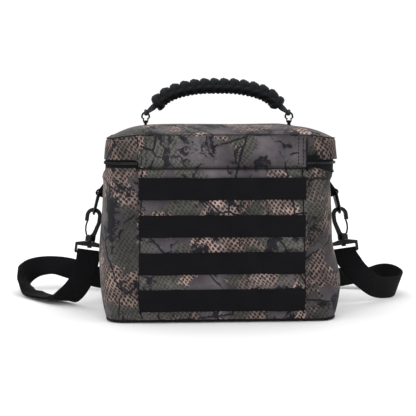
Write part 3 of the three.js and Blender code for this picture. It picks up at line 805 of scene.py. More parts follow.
def makeBody():
    seam = body["seam"]
    cut = body["cut"]
    block = roundedBlock(
        (-body["halfWidth"], -body["halfDepth"], 0), (body["halfWidth"], body["halfDepth"],
                body["top"]), body["corner"],
        (evenPlaces(-body["halfWidth"], body["halfWidth"], cut, (-seam, seam)),
         evenPlaces(-body["halfDepth"], body["halfDepth"], cut),
         [3 * mm, 6.5 * mm, 12 * mm] + evenPlaces(18 * mm, body["top"] - 2 * mm, cut) + [body["top"] - 2
                 * mm]))
    deleteFaces(block, lambda middle, normal: middle.z > body["top"] - 0.1 * mm)

    def curlIn(co):
        inX, inY = insetAt(co.z)
        return Vector((co.x * (1 - inX / body["halfWidth"]), co.y * (1 - inY / body["halfDepth"]), co.z))
    moveVertices(block, curlIn)

    def held(co):
        return (co.z < 4 * mm or co.z > body["top"] - 3 * mm
                or (abs(abs(co.x) - seamXAt(co.z)) < 2 * mm and abs(co.y) > 80 * mm))

    def seamXAt(z):
        return body["seam"] * (1 - insetAt(z)[0] / body["halfWidth"])

    def limitOf(co, normal):
        rise = smoothStep(co.z, 2 * mm, 30 * mm) * smoothStep(body["top"] - co.z, 0, 30 * mm)
        fromSeam = smoothStep(abs(abs(co.x) - seamXAt(co.z)), 0, 22 * mm)
        if abs(co.y) > 80 * mm:
            return (body["frontPuff"] if co.y < 0 else body["backPuff"]) * rise * fromSeam
        return body["sidePuff"] * rise * (0.4 if co.x > 0 else 1)
    block.name = "body"
    puff(block, held, limitOf, body["pressure"])
    subdivide(block)

    # Sunk seams, puckers beside them and soft creases
    def dress(co):
        normalX = co.x / body["halfWidth"]
        normalY = co.y / body["halfDepth"]
        out = Vector((normalX ** 9, normalY ** 9, 0))
        out = out.normalized() if out.length > 1e-6 else Vector((0, 0, 0))
        keep = smoothStep(co.z, 1 * mm, 8 * mm)
        gap = abs(abs(co.x) - seamXAt(co.z))
        onFace = abs(co.y) > 80 * mm
        shift = 0.0
        if onFace:
            shift -= body["seamDepth"] * math.exp(-((gap / (1.6 * mm)) ** 2))
            pucker = noise.noise(Vector((co.x * 20, co.y * 20, co.z * 260)))
            outside = 1.0 if abs(co.x) > seamXAt(co.z) else (0.5 if co.y > 0 else 0.15)
            shift += pucker * body["pucker"] * math.exp(-gap / (9 * mm)) * outside
        crease = noise.noise(Vector((co.x * 11, co.y * 11, co.z * 24)) + Vector((3, 1, 7)))
        amount = 1.0 if not onFace else (0.25 if co.y < 0 and abs(co.x) < 95 * mm else 0.7)
        shift += crease * body["crease"] * amount
        if co.y < 0 and abs(co.x) < 95 * mm:
            shift -= foldSink(body["top"] - co.z)
            keep = 1.0
        else:
            # The sides swell over the end of the zip and tuck in beneath it
            depth = body["top"] - co.z
            shift += body["shoulder"] * math.exp(-(((depth - 9 * mm) / (5.5 * mm)) ** 2))
        near = max(smoothStep(body["top"] - co.z, 0, 10 * mm), 1.0 if onFace and co.y < 0 else 0)
        moved = co + out * shift * keep * (0.3 + 0.7 * near)
        # The front right corner is drawn in towards its top
        drawn = smoothStep(-co.y, 10 * mm, 70 * mm) * smoothStep(co.z, 35 * mm, 95 * mm)
        drawn *= smoothStep(co.x, 96 * mm, 112 * mm) * (1 - 0.4 * smoothStep(co.z, 160 * mm, 176 * mm))
        moved.x -= body["pinch"] * drawn
        return moved
    moveVertices(block, dress)
    writeUv(block, lambda co, face: panelUv(co, face, 1.0, (0.4, -0.3)))
    addModifier(block, "SOLIDIFY", thickness=body["wall"], offset=-1)
    applyAll(block)
    finishPiece(block, "body_fabric", "bag", "camo_fabric", camoCloth,
                ("front_panel", "back_panel", "left_side_panel", "right_side_panel", "base_panel"))
    print("body fabric ready")


makeBody()


def rimPoints(halfX, halfY, radius, z, start=None):
    points = []
    if start is not None:
        points.append((-start, -halfY, z))
        points.append((-(halfX - radius), -halfY, z))
    arcs = ((-1, -1, 270, 180), (-1, 1, 180, 90), (1, 1, 90, 0), (1, -1, 360, 270))
    for signX, signY, a, b in arcs:
        for k in range(7):
            angle = math.radians(a + (b - a) * k / 6)
            points.append((signX * (halfX - radius) + radius * math.cos(angle),
                           signY * (halfY - radius) + radius * math.sin(angle), z))
        straight = 3
        if signX == -1 and signY == -1 or signX == 1 and signY == 1:
            edge = signX * halfX
            for k in range(1, straight + 1):
                points.append((edge, signY * (halfY - radius) * (1 - 2 * k / (straight + 1)), z))
        elif signX == -1:
            for k in range(1, straight + 1):
                points.append(((halfX - radius) * (-1 + 2 * k / (straight + 1)), halfY, z))
    if start is not None:
        points.append((halfX - radius, -halfY, z))
        points.append((start, -halfY, z))
    return points


# Runs from the left of the front round the back; across is down, out is away from the bag
def rimRoute(halfX, halfY, radius, z, start=None):
    points = rimPoints(halfX, halfY, radius, z, start)
    return routeStations(points, [(0, 0, 1)] * len(points), 4, closed=start is None)


rows = {
    "half": 94.2 * mm,
    "thickness": 1.8 * mm,
    "bow": 2.5 * mm,
    "face": 95.35 * mm,
    "tacks": (-47.3, 0.0, 47.3),
    "tackInset": 1.2 * mm,
    "endInset": 1.6 * mm,
    "stitch": 0.55 * mm,
}


# Short slanting threads, one above the other
def makeTack(x, low, high, y):
    clearSelection()
    bpy.ops.mesh.primitive_cylinder_add(vertices=6, radius=rows["stitch"] / 2, depth=2.6 * mm)
    stitch = bpy.context.active_object
    stitch.rotation_euler = (0, math.pi / 2 + 0.32, 0)
    settle(stitch)
    addModifier(stitch, "BEVEL", width=0.12 * mm, segments=1, limit_method="ANGLE")
    count = int((high - low) / (0.9 * mm))
    addModifier(stitch, "ARRAY", count=count, use_relative_offset=False, use_constant_offset=True,
                constant_offset_displace=(0, 0, (high - low) / count))
    applyAll(stitch)
    moveVertices(stitch, lambda co: co + Vector((x, y, low + 0.5 * mm)))
    return stitch


def makeRows():
    tackX = [t * mm for t in rows["tacks"]]
    ends = [-rows["half"]] + tackX + [rows["half"]]
    for number, low in enumerate(rowLows, 1):
        strip = makeStrip(2 * rows["half"], rowHeight, rows["thickness"], 96, 8, 0.35 * mm)
        middle = low + rowHeight / 2

        def shape(co, middle=middle, number=number):
            x = co.x - rows["half"]
            span = next(((a, b) for a, b in zip(ends, ends[1:]) if a <= x <= b), (ends[0], ends[1]))
            t = (x - span[0]) / (span[1] - span[0])
            lift = rows["bow"] * math.sin(math.pi * min(max(t, 0), 1)) ** 0.7
            sag = 0.8 * mm * noise.noise(Vector((x * 26, number * 3.7, 0)))
            edgeLift = (co.y / (rowHeight / 2)) ** 2
            out = lift * (0.55 + 0.45 * edgeLift) if lift > 0 else 0
            return Vector((x, -rows["face"] - rows["thickness"] / 2 - out + co.z * -1, middle + co.y + sag))
        moveVertices(strip, shape)
        face = -rows["face"] - rows["thickness"] - 0.1 * mm
        bottom, top = low + rows["tackInset"], low + rowHeight - rows["tackInset"]
        places = tackX + [-rows["half"] + rows["endInset"], rows["half"] - rows["endInset"]]
        tacks = joinPieces([makeTack(x, bottom, top, face) for x in places])
        writeUv(tacks, lambda co, face: (co.x, co.z))
        finishPiece(strip, f"molle_row_{number}", "bag", "webbing", rowWebbing, (f"webbing_row_{number}",),
                    smooth=40)
        finishPiece(tacks, f"row_tacks_{number}", "bag", "webbing", blackThread, smooth=50)
    print("webbing rows ready")


makeRows()


piping = {
    "height": 2.5 * mm,
    "radius": 1.25 * mm,
    "sunk": 0.4 * mm,
    "tighter": 4 * mm,
}


# A round cord that closes on itself
def closedCord(route, radius, sides, merge):
    cord = makeTube(route[-1][0], radius, 150, sides)
    deleteFaces(cord, lambda middle, normal: abs(normal.x) > 0.9)
    follow(cord, route)
    recalculate(cord, merge)
    return cord


def makePiping():
    z, sunk = piping["height"], piping["sunk"]
    inX, inY = insetAt(z)
    halfX, halfY = body["halfWidth"] - inX - sunk, body["halfDepth"] - inY - sunk
    route = rimRoute(halfX, halfY, body["corner"] - piping["tighter"], z)
    cord = closedCord(route, piping["radius"], 10, 0.3 * mm)
    finishPiece(cord, "base_binding", "bag", "webbing", blackThread, ("base_piping",))
    print("piping ready")


makePiping()


lid = {
    "halfWidth": 134 * mm,
    "halfDepth": 96 * mm,
    "corner": 24 * mm,
    "bottom": 177.35 * mm,
    "band": 186 * mm,
    "rim": 213.5 * mm,
    "crown": 9.2 * mm,
    "crownReach": 40 * mm,
    "fall": 4.2 * mm,
    "topCrease": 1.1 * mm,
    "frontFold": 1.5 * mm,
    "cut": 8 * mm,
    "topPuff": 2.6 * mm,
    "bandPuff": 4.2 * mm,
    "leftPuff": 8.5 * mm,
    "frontPuff": 2.6 * mm,
    "pressure": 4.0,
    "wall": 1.2 * mm,
    "seamDepth": 1.0 * mm,
}


def rimDistance(co, halfX, halfY, radius):
    qx, qy = abs(co.x) - (halfX - radius), abs(co.y) - (halfY - radius)
    outside = math.hypot(max(qx, 0), max(qy, 0)) + min(max(qx, qy), 0) - radius
    return max(-outside, 0)


def lidInset(z):
    lean = min(max(z - lid["band"], 0) / (lid["rim"] - lid["band"]), 1)
    return 3 * mm * lean, 1 * mm * lean


def lidFall(x):
    return lid["fall"] * smoothStep(abs(x), 84 * mm, lid["halfWidth"]) ** 1.4


def makeLid():
    seam = body["seam"]
    block = roundedBlock(
        (-lid["halfWidth"], -lid["halfDepth"], lid["bottom"]), (lid["halfWidth"], lid["halfDepth"],
                lid["rim"]), lid["corner"],
        (evenPlaces(-lid["halfWidth"], lid["halfWidth"], lid["cut"], (-seam, seam)),
         evenPlaces(-lid["halfDepth"], lid["halfDepth"], lid["cut"]),
         [lid["bottom"] + 2 * mm] + evenPlaces(lid["bottom"] + 2 * mm, lid["rim"] - 2 * mm, 6 * mm,
                                               (lid["band"],))
         + [lid["rim"] - 2 * mm]))
    deleteFaces(block, lambda middle, normal: middle.z < lid["bottom"] + 0.1 * mm
                or (middle.z < lid["band"]
                    and not (abs(middle.x) < seam and middle.y < -lid["halfDepth"] + 2 * mm)))

    def crownUp(co):
        inX, inY = lidInset(co.z)
        away = rimDistance(co, lid["halfWidth"], lid["halfDepth"], lid["corner"])
        z = co.z
        if co.z > lid["rim"] - 0.1 * mm:
            z += lid["crown"] * (1 - (1 - min(away / lid["crownReach"], 1)) ** 2.1)
        x, y = co.x * (1 - inX / lid["halfWidth"]), co.y * (1 - inY / lid["halfDepth"])
        if co.z < lid["band"] + 0.1 * mm and y < -90 * mm and abs(x) < seam + 1 * mm:
            y = -lid["halfDepth"] + 1 * mm * smoothStep(lid["band"] - co.z, 0, 8 * mm)
        z -= lidFall(co.x) * smoothStep(co.z, lid["band"], lid["rim"])
        return Vector((x, y, z))
    moveVertices(block, crownUp)

    def held(co):
        front = co.y < -88 * mm
        return (co.z < lid["bottom"] + 0.5 * mm
                or (co.z < lid["band"] + 1 * mm and not (front and abs(co.x) < seam))
                or (front and abs(abs(co.x) - seam) < 3 * mm) or abs(co.z + lidFall(co.x)
                        - lid["rim"]) < 0.4 * mm)

    def limitOf(co, normal):
        if co.z + lidFall(co.x) > lid["rim"] + 0.2 * mm:
            away = rimDistance(co, lid["halfWidth"], lid["halfDepth"], lid["corner"])
            return lid["topPuff"] * smoothStep(away, 0, 26 * mm) * (1 - smoothStep(away, 26 * mm, 80 * mm)
                    * 0.6)
        rise = smoothStep(lid["rim"] - lidFall(co.x) + 1 * mm - co.z, 0, 9 * mm)
        if co.y < -88 * mm and abs(co.x) < seam:
            edge = smoothStep(seam - abs(co.x), 0, 20 * mm)
            return lid["frontPuff"] * rise * smoothStep(co.z - lid["bottom"], 0, 9 * mm) * edge
        puffed = lid["leftPuff"] if co.x < -118 * mm else lid["bandPuff"]
        return puffed * rise * smoothStep(co.z - lid["band"], -1 * mm, 8 * mm)
    block.name = "lid"
    puff(block, held, limitOf, lid["pressure"])
    subdivide(block)

    def dress(co):
        rim = lid["rim"] - lidFall(co.x)
        onTop = co.z > rim + 0.2 * mm
        front = co.y < -88 * mm and not onTop
        away = rimDistance(co, lid["halfWidth"], lid["halfDepth"], lid["corner"])
        if onTop:
            crease = noise.noise(Vector((co.x * 13, co.y * 17, 2)))
            return co + Vector((0, 0, crease * lid["topCrease"] * smoothStep(away, 2 * mm, 20 * mm)))
        out = Vector(((co.x / lid["halfWidth"]) ** 9, (co.y / lid["halfDepth"]) ** 9, 0))
        out = out.normalized() if out.length > 1e-6 else Vector((0, 0, 0))
        shift = -lid["seamDepth"] * math.exp(-(((co.z - rim) / (1.4 * mm)) ** 2))
        if front:
            gap = abs(abs(co.x) - seam)
            shift -= lid["seamDepth"] * math.exp(-((gap / (1.4 * mm)) ** 2))
            shift += noise.noise(Vector((co.x * 40, 5, co.z * 150))) * 0.7 * mm * math.exp(-gap / (10 * mm))
            shift -= foldSink(co.z - lid["bottom"]) * smoothStep(gap, 0, 6 * mm)
        # Long slanting folds across the soft front
        fold = noise.noise(Vector(((co.x + co.z * 1.2) * 16, co.y * 12, co.z * 18)))
        shift += fold * lid["frontFold"] * smoothStep(lid["rim"] - co.z, 0, 9 * mm) * smoothStep(co.z
                - lid["bottom"], 0, 7 * mm)
        return co + out * shift
    moveVertices(block, dress)
    writeUv(block, lambda co, face: panelUv(co, face, lid["rim"] - lidFall(co.x) - 0.5 * mm, (0.02, 0.335)))
    addModifier(block, "SOLIDIFY", thickness=lid["wall"], offset=-1)
    applyAll(block)
    finishPiece(block, "lid_fabric", "lid", "camo_fabric", camoCloth,
                ("lid_band", "lid_top_panel", "lid_hinge_panel"))
    print("lid fabric ready")
    return block


lidFabric = makeLid()


def makeFold():
    strip = makeStrip(2 * 94.4 * mm, 7.6 * mm, 0.8 * mm, 60, 10, 0)
    hinge = 177.15 * mm

    def shape(co):
        x = co.x - 94.4 * mm
        valley = 3.0 * mm * math.exp(-((co.y / (2.4 * mm)) ** 2)) + 1.7 * mm
        wave = 0.25 * mm * noise.noise(Vector((x * 60, 0, 4)))
        return Vector((x, -94.75 * mm + valley + wave + co.z, hinge + co.y))
    moveVertices(strip, shape)
    recalculate(strip)
    writeUv(strip, lambda co, face: (co.x, co.z))
    finishPiece(strip, "hinge_fold", None, "camo_fabric", camoCloth)
    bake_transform(strip)


makeFold()


zipPart = {
    "start": 95.5 * mm,
    "toothPitch": 2.2 * mm,
    "teethSunk": 0.6 * mm,
    "tapeSunk": 1.3 * mm,
}


def makeZip():
    inX, inY = insetAt(body["top"])
    halfX, halfY, corner = body["halfWidth"] - inX, body["halfDepth"] - inY, body["corner"]
    for name, bodyName, coilAt in (("lower", "bag", 181.35 * mm), ("upper", "lid", 182.65 * mm)):
        low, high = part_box(f"zip_tape_{name}")
        sunk = zipPart["tapeSunk"]
        route = rimRoute(halfX - sunk, halfY - sunk, corner - sunk, 0, zipPart["start"])
        length = route[-1][0]
        width = high.z - low.z
        tape = makeStrip(length, width, 0.8 * mm, 190, 14, 0.2 * mm)
        centre = (low.z + high.z) / 2

        def ribbed(co, centre=centre, width=width):
            # Three woven ribs stand up along the tape
            rib = sum(math.exp(-(((co.y - at * width) / (0.8 * mm)) ** 2)) for at in (-0.3, 0.0, 0.3))
            lift = 1.0 * mm * rib if co.z > 0 else 0
            return Vector((co.x, co.y + centre, co.z + lift))
        moveVertices(tape, ribbed)
        follow(tape, route)
        pushOut(tape)
        recalculate(tape)
        finishPiece(tape, f"zip_band_{name}", bodyName, "zip_tape", zipCloth, (f"zip_tape_{name}",),
                    smooth=60)

        sunk = zipPart["teethSunk"]
        coilRoute = rimRoute(halfX - sunk, halfY - sunk, corner - sunk, 0, zipPart["start"])
        run = coilRoute[-1][0]
        count = int(run / zipPart["toothPitch"])
        clearSelection()
        bpy.ops.mesh.primitive_cylinder_add(vertices=6, radius=0.62 * mm, depth=1.25 * mm)
        tooth = bpy.context.active_object
        tooth.rotation_euler = (math.pi / 2, 0, 0)
        settle(tooth)
        addModifier(tooth, "BEVEL", width=0.16 * mm, segments=1, limit_method="ANGLE",
                    angle_limit=math.radians(60))
        addModifier(tooth, "ARRAY", count=count, use_relative_offset=False, use_constant_offset=True,
                    constant_offset_displace=(run / count, 0, 0))
        applyAll(tooth)
        moveVertices(tooth, lambda co: Vector((co.x + 0.8 * mm, co.y + coilAt, co.z * 1.15 - 0.7 * mm)))
        follow(tooth, coilRoute)
        pushOut(tooth)
        recalculate(tooth)
        finishPiece(tooth, f"zip_teeth_{name}", bodyName, "zip_coil", zipMoulding, (), smooth=40)
        paintNode(f"zip_coil_{name}", zipMoulding)
    for side in ("left", "right"):
        slider = refine(f"zip_slider_{side}", 0.35 * mm)
        finishPiece(slider, f"slider_{side}", f"zip_slider_{side}", "zip_coil", zipMoulding,
                    (f"zip_slider_{side}",), smooth=35)
        pull = refine(f"zip_pull_{side}", 0.3 * mm)
        finishPiece(pull, f"pull_{side}", f"zip_pull_{side}", "zip_coil", zipMoulding, (f"zip_pull_{side}",),
                    smooth=35)
    print("zip ready")


# The zip stands level with the cloth at the front and sides, and follows the drawn-in corner
def pushOut(piece):
    def change(co):
        x = co.x + math.copysign(1.2 * mm, co.x) * smoothStep(abs(co.x), 100 * mm, 128 * mm)
        y = co.y - 1.0 * mm * smoothStep(-co.y, 60 * mm, 90 * mm)
        x -= 3.6 * mm * smoothStep(-co.y, 10 * mm, 70 * mm) * smoothStep(co.x, 100 * mm, 116 * mm)
        return Vector((x, y, co.z))
    moveVertices(piece, change)


makeZip()


def sewLining(block):
    subdivide(block)
    writeUv(block, lambda co, face: (co.x, co.y) if abs(face.normal.z) > 0.7
            else ((co.x, co.z) if abs(face.normal.y) > abs(face.normal.x) else (co.y, co.z)))
    addModifier(block, "SOLIDIFY", thickness=0.8 * mm, offset=-1)
    applyAll(block)


def makeLining():
    halfX, halfY, radius = 132.2 * mm, 88.2 * mm, 18 * mm
    top = 171.7 * mm
    block = roundedBlock((-halfX, -halfY, 8.6 * mm), (halfX, halfY, top), radius,
                         (evenPlaces(-halfX, halfX, 12 * mm), evenPlaces(-halfY, halfY, 12 * mm),
                          evenPlaces(8.6 * mm, top, 12 * mm)), 6)
    deleteFaces(block, lambda middle, normal: middle.z > top - 0.1 * mm)

    def curlIn(co):
        inX, inY = insetAt(co.z)
        quilt = 1.3 * mm * (1 - abs(math.sin(math.pi * co.x / (44 * mm))
                                    * math.sin(math.pi * co.z / (40 * mm))) ** 0.4)
        pull = 1 - (quilt + 0.3 * mm) / halfX
        return Vector((co.x * (1 - inX / body["halfWidth"]) * pull, co.y * (1 - inY / body["halfDepth"])
                       * pull, co.z))
    moveVertices(block, curlIn)
    sewLining(block)
    finishPiece(block, "inner_lining", "bag", "lining", silverLining,
                ("body_liner", "body_foam", "base_foam"))

    # A bound edge covers the foam between the lining and the outer cloth
    halfX, halfY = 132 * mm, 95 * mm
    route = rimRoute(halfX - 4.6 * mm, halfY - 4.6 * mm, 20 * mm, 0)
    binding = makeStrip(route[-1][0], 7.0 * mm, 1.0 * mm, 150, 8, 0)

    def over(co):
        turn = co.y / (3.5 * mm) * math.pi / 2
        return Vector((co.x, 171.2 * mm + 2.2 * mm * math.cos(turn) + co.z, 2.6 * mm * math.sin(turn)))
    moveVertices(binding, over)
    follow(binding, route)
    recalculate(binding)
    writeUv(binding, lambda co, face: (co.x + co.y, co.z))
    finishPiece(binding, "rim_binding", "bag", "webbing", rowWebbing)

    low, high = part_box("lid_liner")
    halfX, halfY = high.x, high.y
    block = roundedBlock((-halfX, -halfY, low.z), (halfX, halfY, high.z), 18 * mm,
                         (evenPlaces(-halfX, halfX, 12 * mm), evenPlaces(-halfY, halfY, 12 * mm),
                          evenPlaces(low.z, high.z, 7 * mm)), 6)
    deleteFaces(block, lambda middle, normal: middle.z < low.z + 0.1 * mm)

    def quilted(co):
        inX, inY = lidInset(co.z)
        x, y = co.x * (1 - inX / lid["halfWidth"]), co.y * (1 - inY / lid["halfDepth"])
        if co.z > high.z - 0.1 * mm:
            soft = abs(math.sin(math.pi * x / (43 * mm)) * math.sin(math.pi * y / (45 * mm))) ** 0.5
            return Vector((x, y, co.z - 1.6 * mm * soft))
        return Vector((x, y, co.z))
    moveVertices(block, quilted)
    sewLining(block)
    finishPiece(block, "lid_lining", "lid", "lining", silverLining, ("lid_liner", "lid_foam"))
    paintNode("base_board", boardPlastic)
    print("linings ready")


makeLining()


stitching = {
    "length": 2.7 * mm,
    "gap": 1.2 * mm,
    "thick": 0.85 * mm,
    "lines": (90.9, 85.6),
    "reach": 12 * mm,
    "lift": 0.12 * mm,
    "crownCord": 0.5 * mm,
    "seamCord": 0.55 * mm,
    # the cord in the fold under the lid is painted shadow
    "foldShadowCord": 0.7 * mm,
}


def makeStitches(start, end, lift):
    start, end = Vector(start), Vector(end)
    length = (end - start).length
    pitch = stitching["length"] + stitching["gap"]
    count = max(int(length / pitch), 1)
    clearSelection()
    bpy.ops.mesh.primitive_cube_add(size=1)
    stitch = bpy.context.active_object
    stitch.scale = (stitching["length"], stitching["thick"], stitching["thick"])
    settle(stitch)
    addModifier(stitch, "BEVEL", width=0.2 * mm, segments=2)
    addModifier(stitch, "ARRAY", count=count, use_relative_offset=False, use_constant_offset=True,
                constant_offset_displace=(length / count, 0, 0))
    applyAll(stitch)
    along = (end - start).normalized()
    across = along.cross(Vector(lift)).normalized()

    def lay(co):
        return start + along * (co.x + length / count / 2) + across * co.y + Vector(lift) * co.z
    moveVertices(stitch, lay)
    return stitch


# Drops each point on to the cloth below it, keeping its own small height
def dropOnto(piece, cloth, direction):
    direction = Vector(direction)
    reach, lift = stitching["reach"], stitching["lift"]
    depsgraph = bpy.context.evaluated_depsgraph_get()
    shape = cloth.evaluated_get(depsgraph)
    flat = [v.co.dot(direction) for v in piece.data.vertices]
    level = sum(flat) / len(flat)
    for vertex in piece.data.vertices:
        height = vertex.co.dot(direction) - level
        base = vertex.co - direction * height
        hit, place, _, _ = shape.ray_cast(base - direction * reach, direction, distance=reach * 2)
        if hit:
            vertex.co = place + direction * (height + lift)
    piece.data.update()


def makeTopstitch():
    parts = []
    for sign in (-1, 1):
        for x in stitching["lines"]:
            low, high = (sign * x * mm, -100 * mm, 179.5 * mm), (sign * x * mm, -100 * mm, 211 * mm)
            parts.append(makeStitches(low, high, (0, 1, 0)))
    stitches = joinPieces(parts)
    dropOnto(stitches, lidFabric, (0, 1, 0))
    finishPiece(stitches, "lid_topstitch", "lid", "webbing", blackThread, smooth=50)

    # A thin dark cord lies in the seam round the crown
    halfX, halfY = lid["halfWidth"] - 3.4 * mm, lid["halfDepth"] - 1.7 * mm
    route = rimRoute(halfX, halfY, lid["corner"], lid["rim"] + 0.3 * mm)
    cord = closedCord(route, stitching["crownCord"], 8, 0.2 * mm)
    moveVertices(cord, lambda co: Vector((co.x, co.y, co.z - lidFall(co.x))))
    finishPiece(cord, "crown_seam", "lid", "webbing", blackThread)

    parts = []
    for sign in (-1, 1):
        for side in (-1, 1):
            tube = makeTube(170 * mm, stitching["seamCord"], 40, 6)

            def up(co, sign=sign, side=side):
                z = co.x + 5 * mm
                inX, inY = insetAt(z)
                x = sign * body["seam"] * (1 - inX / body["halfWidth"])
                y = side * (body["halfDepth"] - inY - 0.75 * mm)
                return Vector((x + co.y, y + co.z, z))
            moveVertices(tube, up)
            recalculate(tube)
            parts.append(tube)
    # A thin dark cord along the fold under the front of the lid is painted shadow where the lid hangs over
    # the body
    fold = makeTube(2 * body["seam"], stitching["foldShadowCord"], 60, 8)
    moveVertices(fold, lambda co: Vector((co.x - body["seam"], -94.1 * mm + co.y, 175.9 * mm + co.z)))
    recalculate(fold)
    parts.append(fold)
    cords = joinPieces(parts)
    finishPiece(cords, "body_seams_and_fold_shadow", "bag", "webbing", blackThread)

    parts = []
    for sign in (-1, 1):
        tube = makeTube(33 * mm, stitching["seamCord"], 16, 6)
        moveVertices(tube, lambda co,
                     sign=sign: Vector((sign * body["seam"] + co.y, -95.1 * mm + co.z, co.x + 178.6 * mm)))
        recalculate(tube)
        parts.append(tube)
    finishPiece(joinPieces(parts), "lid_seams", "lid", "webbing", blackThread)
    print("stitching ready")


makeTopstitch()


handle = {
    "ringX": 87 * mm,
    "ringMiddle": 232.25 * mm,
    "ringHigh": 12.5 * mm,
    "ringHalf": 4.4 * mm,
    "wire": 1.2 * mm,
    "knots": 14,
    "halfWide": 8.5 * mm,
    "halfHigh": 6.3 * mm,
    "cord": 4.15 * mm,
    "bight": 12.5 * mm,
    "underPitch": 5.4 * mm,
}
archShape = [(-74, 246), (-66, 255), (-52, 262.5), (-27, 268.3), (0, 269.5), (27, 268.3), (52, 262.5),
             (66, 255), (74, 246)]


def archRoute():
    points = [(x * mm, 0, z * mm) for x, z in archShape]
    return routeStations(points, [(0, 1, 0)] * len(points), 10)


def makeTorus(major, minor, around, sides, turn=None):
    clearSelection()
    bpy.ops.mesh.primitive_torus_add(major_radius=major, minor_radius=minor, major_segments=around,
                                     minor_segments=sides)
    ring = bpy.context.active_object
    if turn:
        ring.rotation_euler = turn
        settle(ring)
    return ring


def makeRing(minor, reachOf):
    ring = makeTorus(10 * mm, minor, 56, 12)

    def shape(co):
        angle = math.atan2(co.y, co.x)
        distance = reachOf(angle) + math.hypot(co.x, co.y) - 10 * mm
        return Vector((distance * math.cos(angle), -co.z, distance * math.sin(angle)))
    moveVertices(ring, shape)
    return ring


def teardrop(angle):
    half = handle["ringHigh"] / 2
    down = max(-math.sin(angle), 0)
    upper = math.hypot(handle["ringHalf"] * math.cos(angle), half * math.sin(angle))
    pinched = 1 - 0.42 * down * (1 - down) * 4 * (down > 0)
    return upper * pinched + down ** 4 * (half - upper) * 0.5


def makeHandle():
    route = archRoute()
    total = route[-1][0]
    pitch = (total + 2 * mm) / handle["knots"]
    pieces = []

    def loop(place, radius, wide, high, lean, turn):
        ring = makeTorus(10 * mm, radius, 28, 9)

        def shape(co):
            angle = math.atan2(co.y, co.x)
            out = math.hypot(co.x, co.y) - 10 * mm
            # A flattened ring round the core that leans along the handle
            square = (abs(math.cos(angle)) ** 2.6 + abs(math.sin(angle)) ** 2.6) ** (-1 / 2.6)
            out *= 1 + 0.14 * math.sin(angle)
            low = 1 - 0.16 * max(-math.sin(angle), 0)
            y = (wide * square + out) * math.cos(angle)
            z = (high * square + out) * math.sin(angle) * low
            along = co.z * 1.15 + lean * math.sin(angle) + turn * math.sin(2 * angle)
            return Vector((place + along, y, z))
        moveVertices(ring, shape)
        return ring

    for k in range(handle["knots"]):
        place = -1 * mm + (k + 0.5) * pitch
        swell = 1.0 + 0.10 * (k in (0, handle["knots"] - 1))
        pieces.append(loop(place, handle["cord"] * swell, handle["halfWide"], handle["halfHigh"], 1.2 * mm,
                           0.8 * mm))
        if k < handle["knots"] - 1:
            pieces.append(loop(place + pitch / 2, 3.2 * mm, handle["halfWide"] - 0.8 * mm,
                               handle["halfHigh"] + 0.1 * mm, -2.0 * mm, -0.8 * mm))
    # Bights lie along both edges between the loops
    for k in range(handle["knots"] - 1):
        for sign in (-1, 1):
            tube = makeTube(handle["bight"], 3.2 * mm, 10, 10)
            start = -1 * mm + (k + 0.5) * pitch

            def lay(co, start=start, sign=sign):
                t = min(max(co.x / handle["bight"], 0), 1)
                bow = math.sin(math.pi * t)
                return Vector((start + co.x, sign * (handle["halfWide"] + 2.2 * mm * bow) + co.y * sign,
                               co.z * 0.95 - 1.6 * mm + 1.5 * mm * t))
            moveVertices(tube, lay)
            recalculate(tube)
            pieces.append(tube)
    # The straight cords inside close the gaps
    core = makeTube(total - 6 * mm, 4.6 * mm, 240, 12)

    def fill(co):
        bump = 1.5 * mm * abs(math.sin(math.pi * co.x / handle["underPitch"])) if co.z < 0 else 0
        return Vector((co.x + 3 * mm, co.y * 1.85, co.z * 1.6 - bump))
    moveVertices(core, fill)
    pieces.append(core)
    braid = joinPieces(pieces)
    follow(braid, route)
    recalculate(braid)
    finishPiece(braid, "cord_braid", "handle", "cord", cordSheath, ("handle_braid",), smooth=60)

    for sign, side in ((-1, "left"), (1, "right")):
        ring = makeRing(handle["wire"], teardrop)
        moveVertices(ring, lambda co, sign=sign: co
                     + Vector((sign * handle["ringX"], 0, handle["ringMiddle"])))
        recalculate(ring)
        finishPiece(ring, f"bent_ring_{side}", "handle_rings", "black_steel", coatedWire,
                    (f"handle_ring_{side}",))
        tab = refine(f"handle_tab_{side}", 0.3 * mm)
        writeUv(tab, lambda co, face: (co.y, co.x))
        finishPiece(tab, f"sewn_tab_{side}", "lid", "webbing", rowWebbing, (f"handle_tab_{side}",), smooth=40)

        # The link strap runs round the ring wire and up into the braid
        points = [(86.9, 235.6), (85.2, 236.9), (84.0, 239.4), (81.6, 241.6), (78.4, 244.2), (75.4, 247.0),
                  (72.8, 250.0)]
        points = [(sign * x * mm, 0, z * mm) for x, z in points]
        sides = []
        for i in range(len(points)):
            ahead = Vector(points[min(i + 1, len(points) - 1)]) - Vector(points[max(i - 1, 0)])
            sides.append((-ahead.z, 0, ahead.x))
        run = routeStations(points, sides, 6)
        link = makeStrip(run[-1][0], 5.6 * mm, 2.4 * mm, 24, 6, 0.7 * mm)
        moveVertices(link, lambda co: Vector((co.x, co.y * (0.62 + 0.7 * smoothStep(co.x, 0, 14 * mm)),
                                              co.z)))
        follow(link, run)
        recalculate(link)
        eye = makeTorus(2.55 * mm, 1.25 * mm, 28, 12, (0, math.pi / 2, 0))
        moveVertices(eye, lambda co,
                     sign=sign: Vector((co.x * 1.5 + sign * 86.9 * mm, co.y, co.z + 238.5 * mm)))
        grommet = makeTorus(1.5 * mm, 0.6 * mm, 20, 8, (math.pi / 2, 0, 0))
        moveVertices(grommet, lambda co, sign=sign: co + Vector((sign * 77.2 * mm, -2.9 * mm, 245.2 * mm)))
        strap = joinPieces([link, eye, grommet])
        writeUv(strap, lambda co, face: (co.x, co.y))
        finishPiece(strap, f"handle_link_{side}", "handle", "cord", linkWebbing, ("handle_core",) if sign < 0
                    else (), smooth=50)
    print("handle ready")


makeHandle()


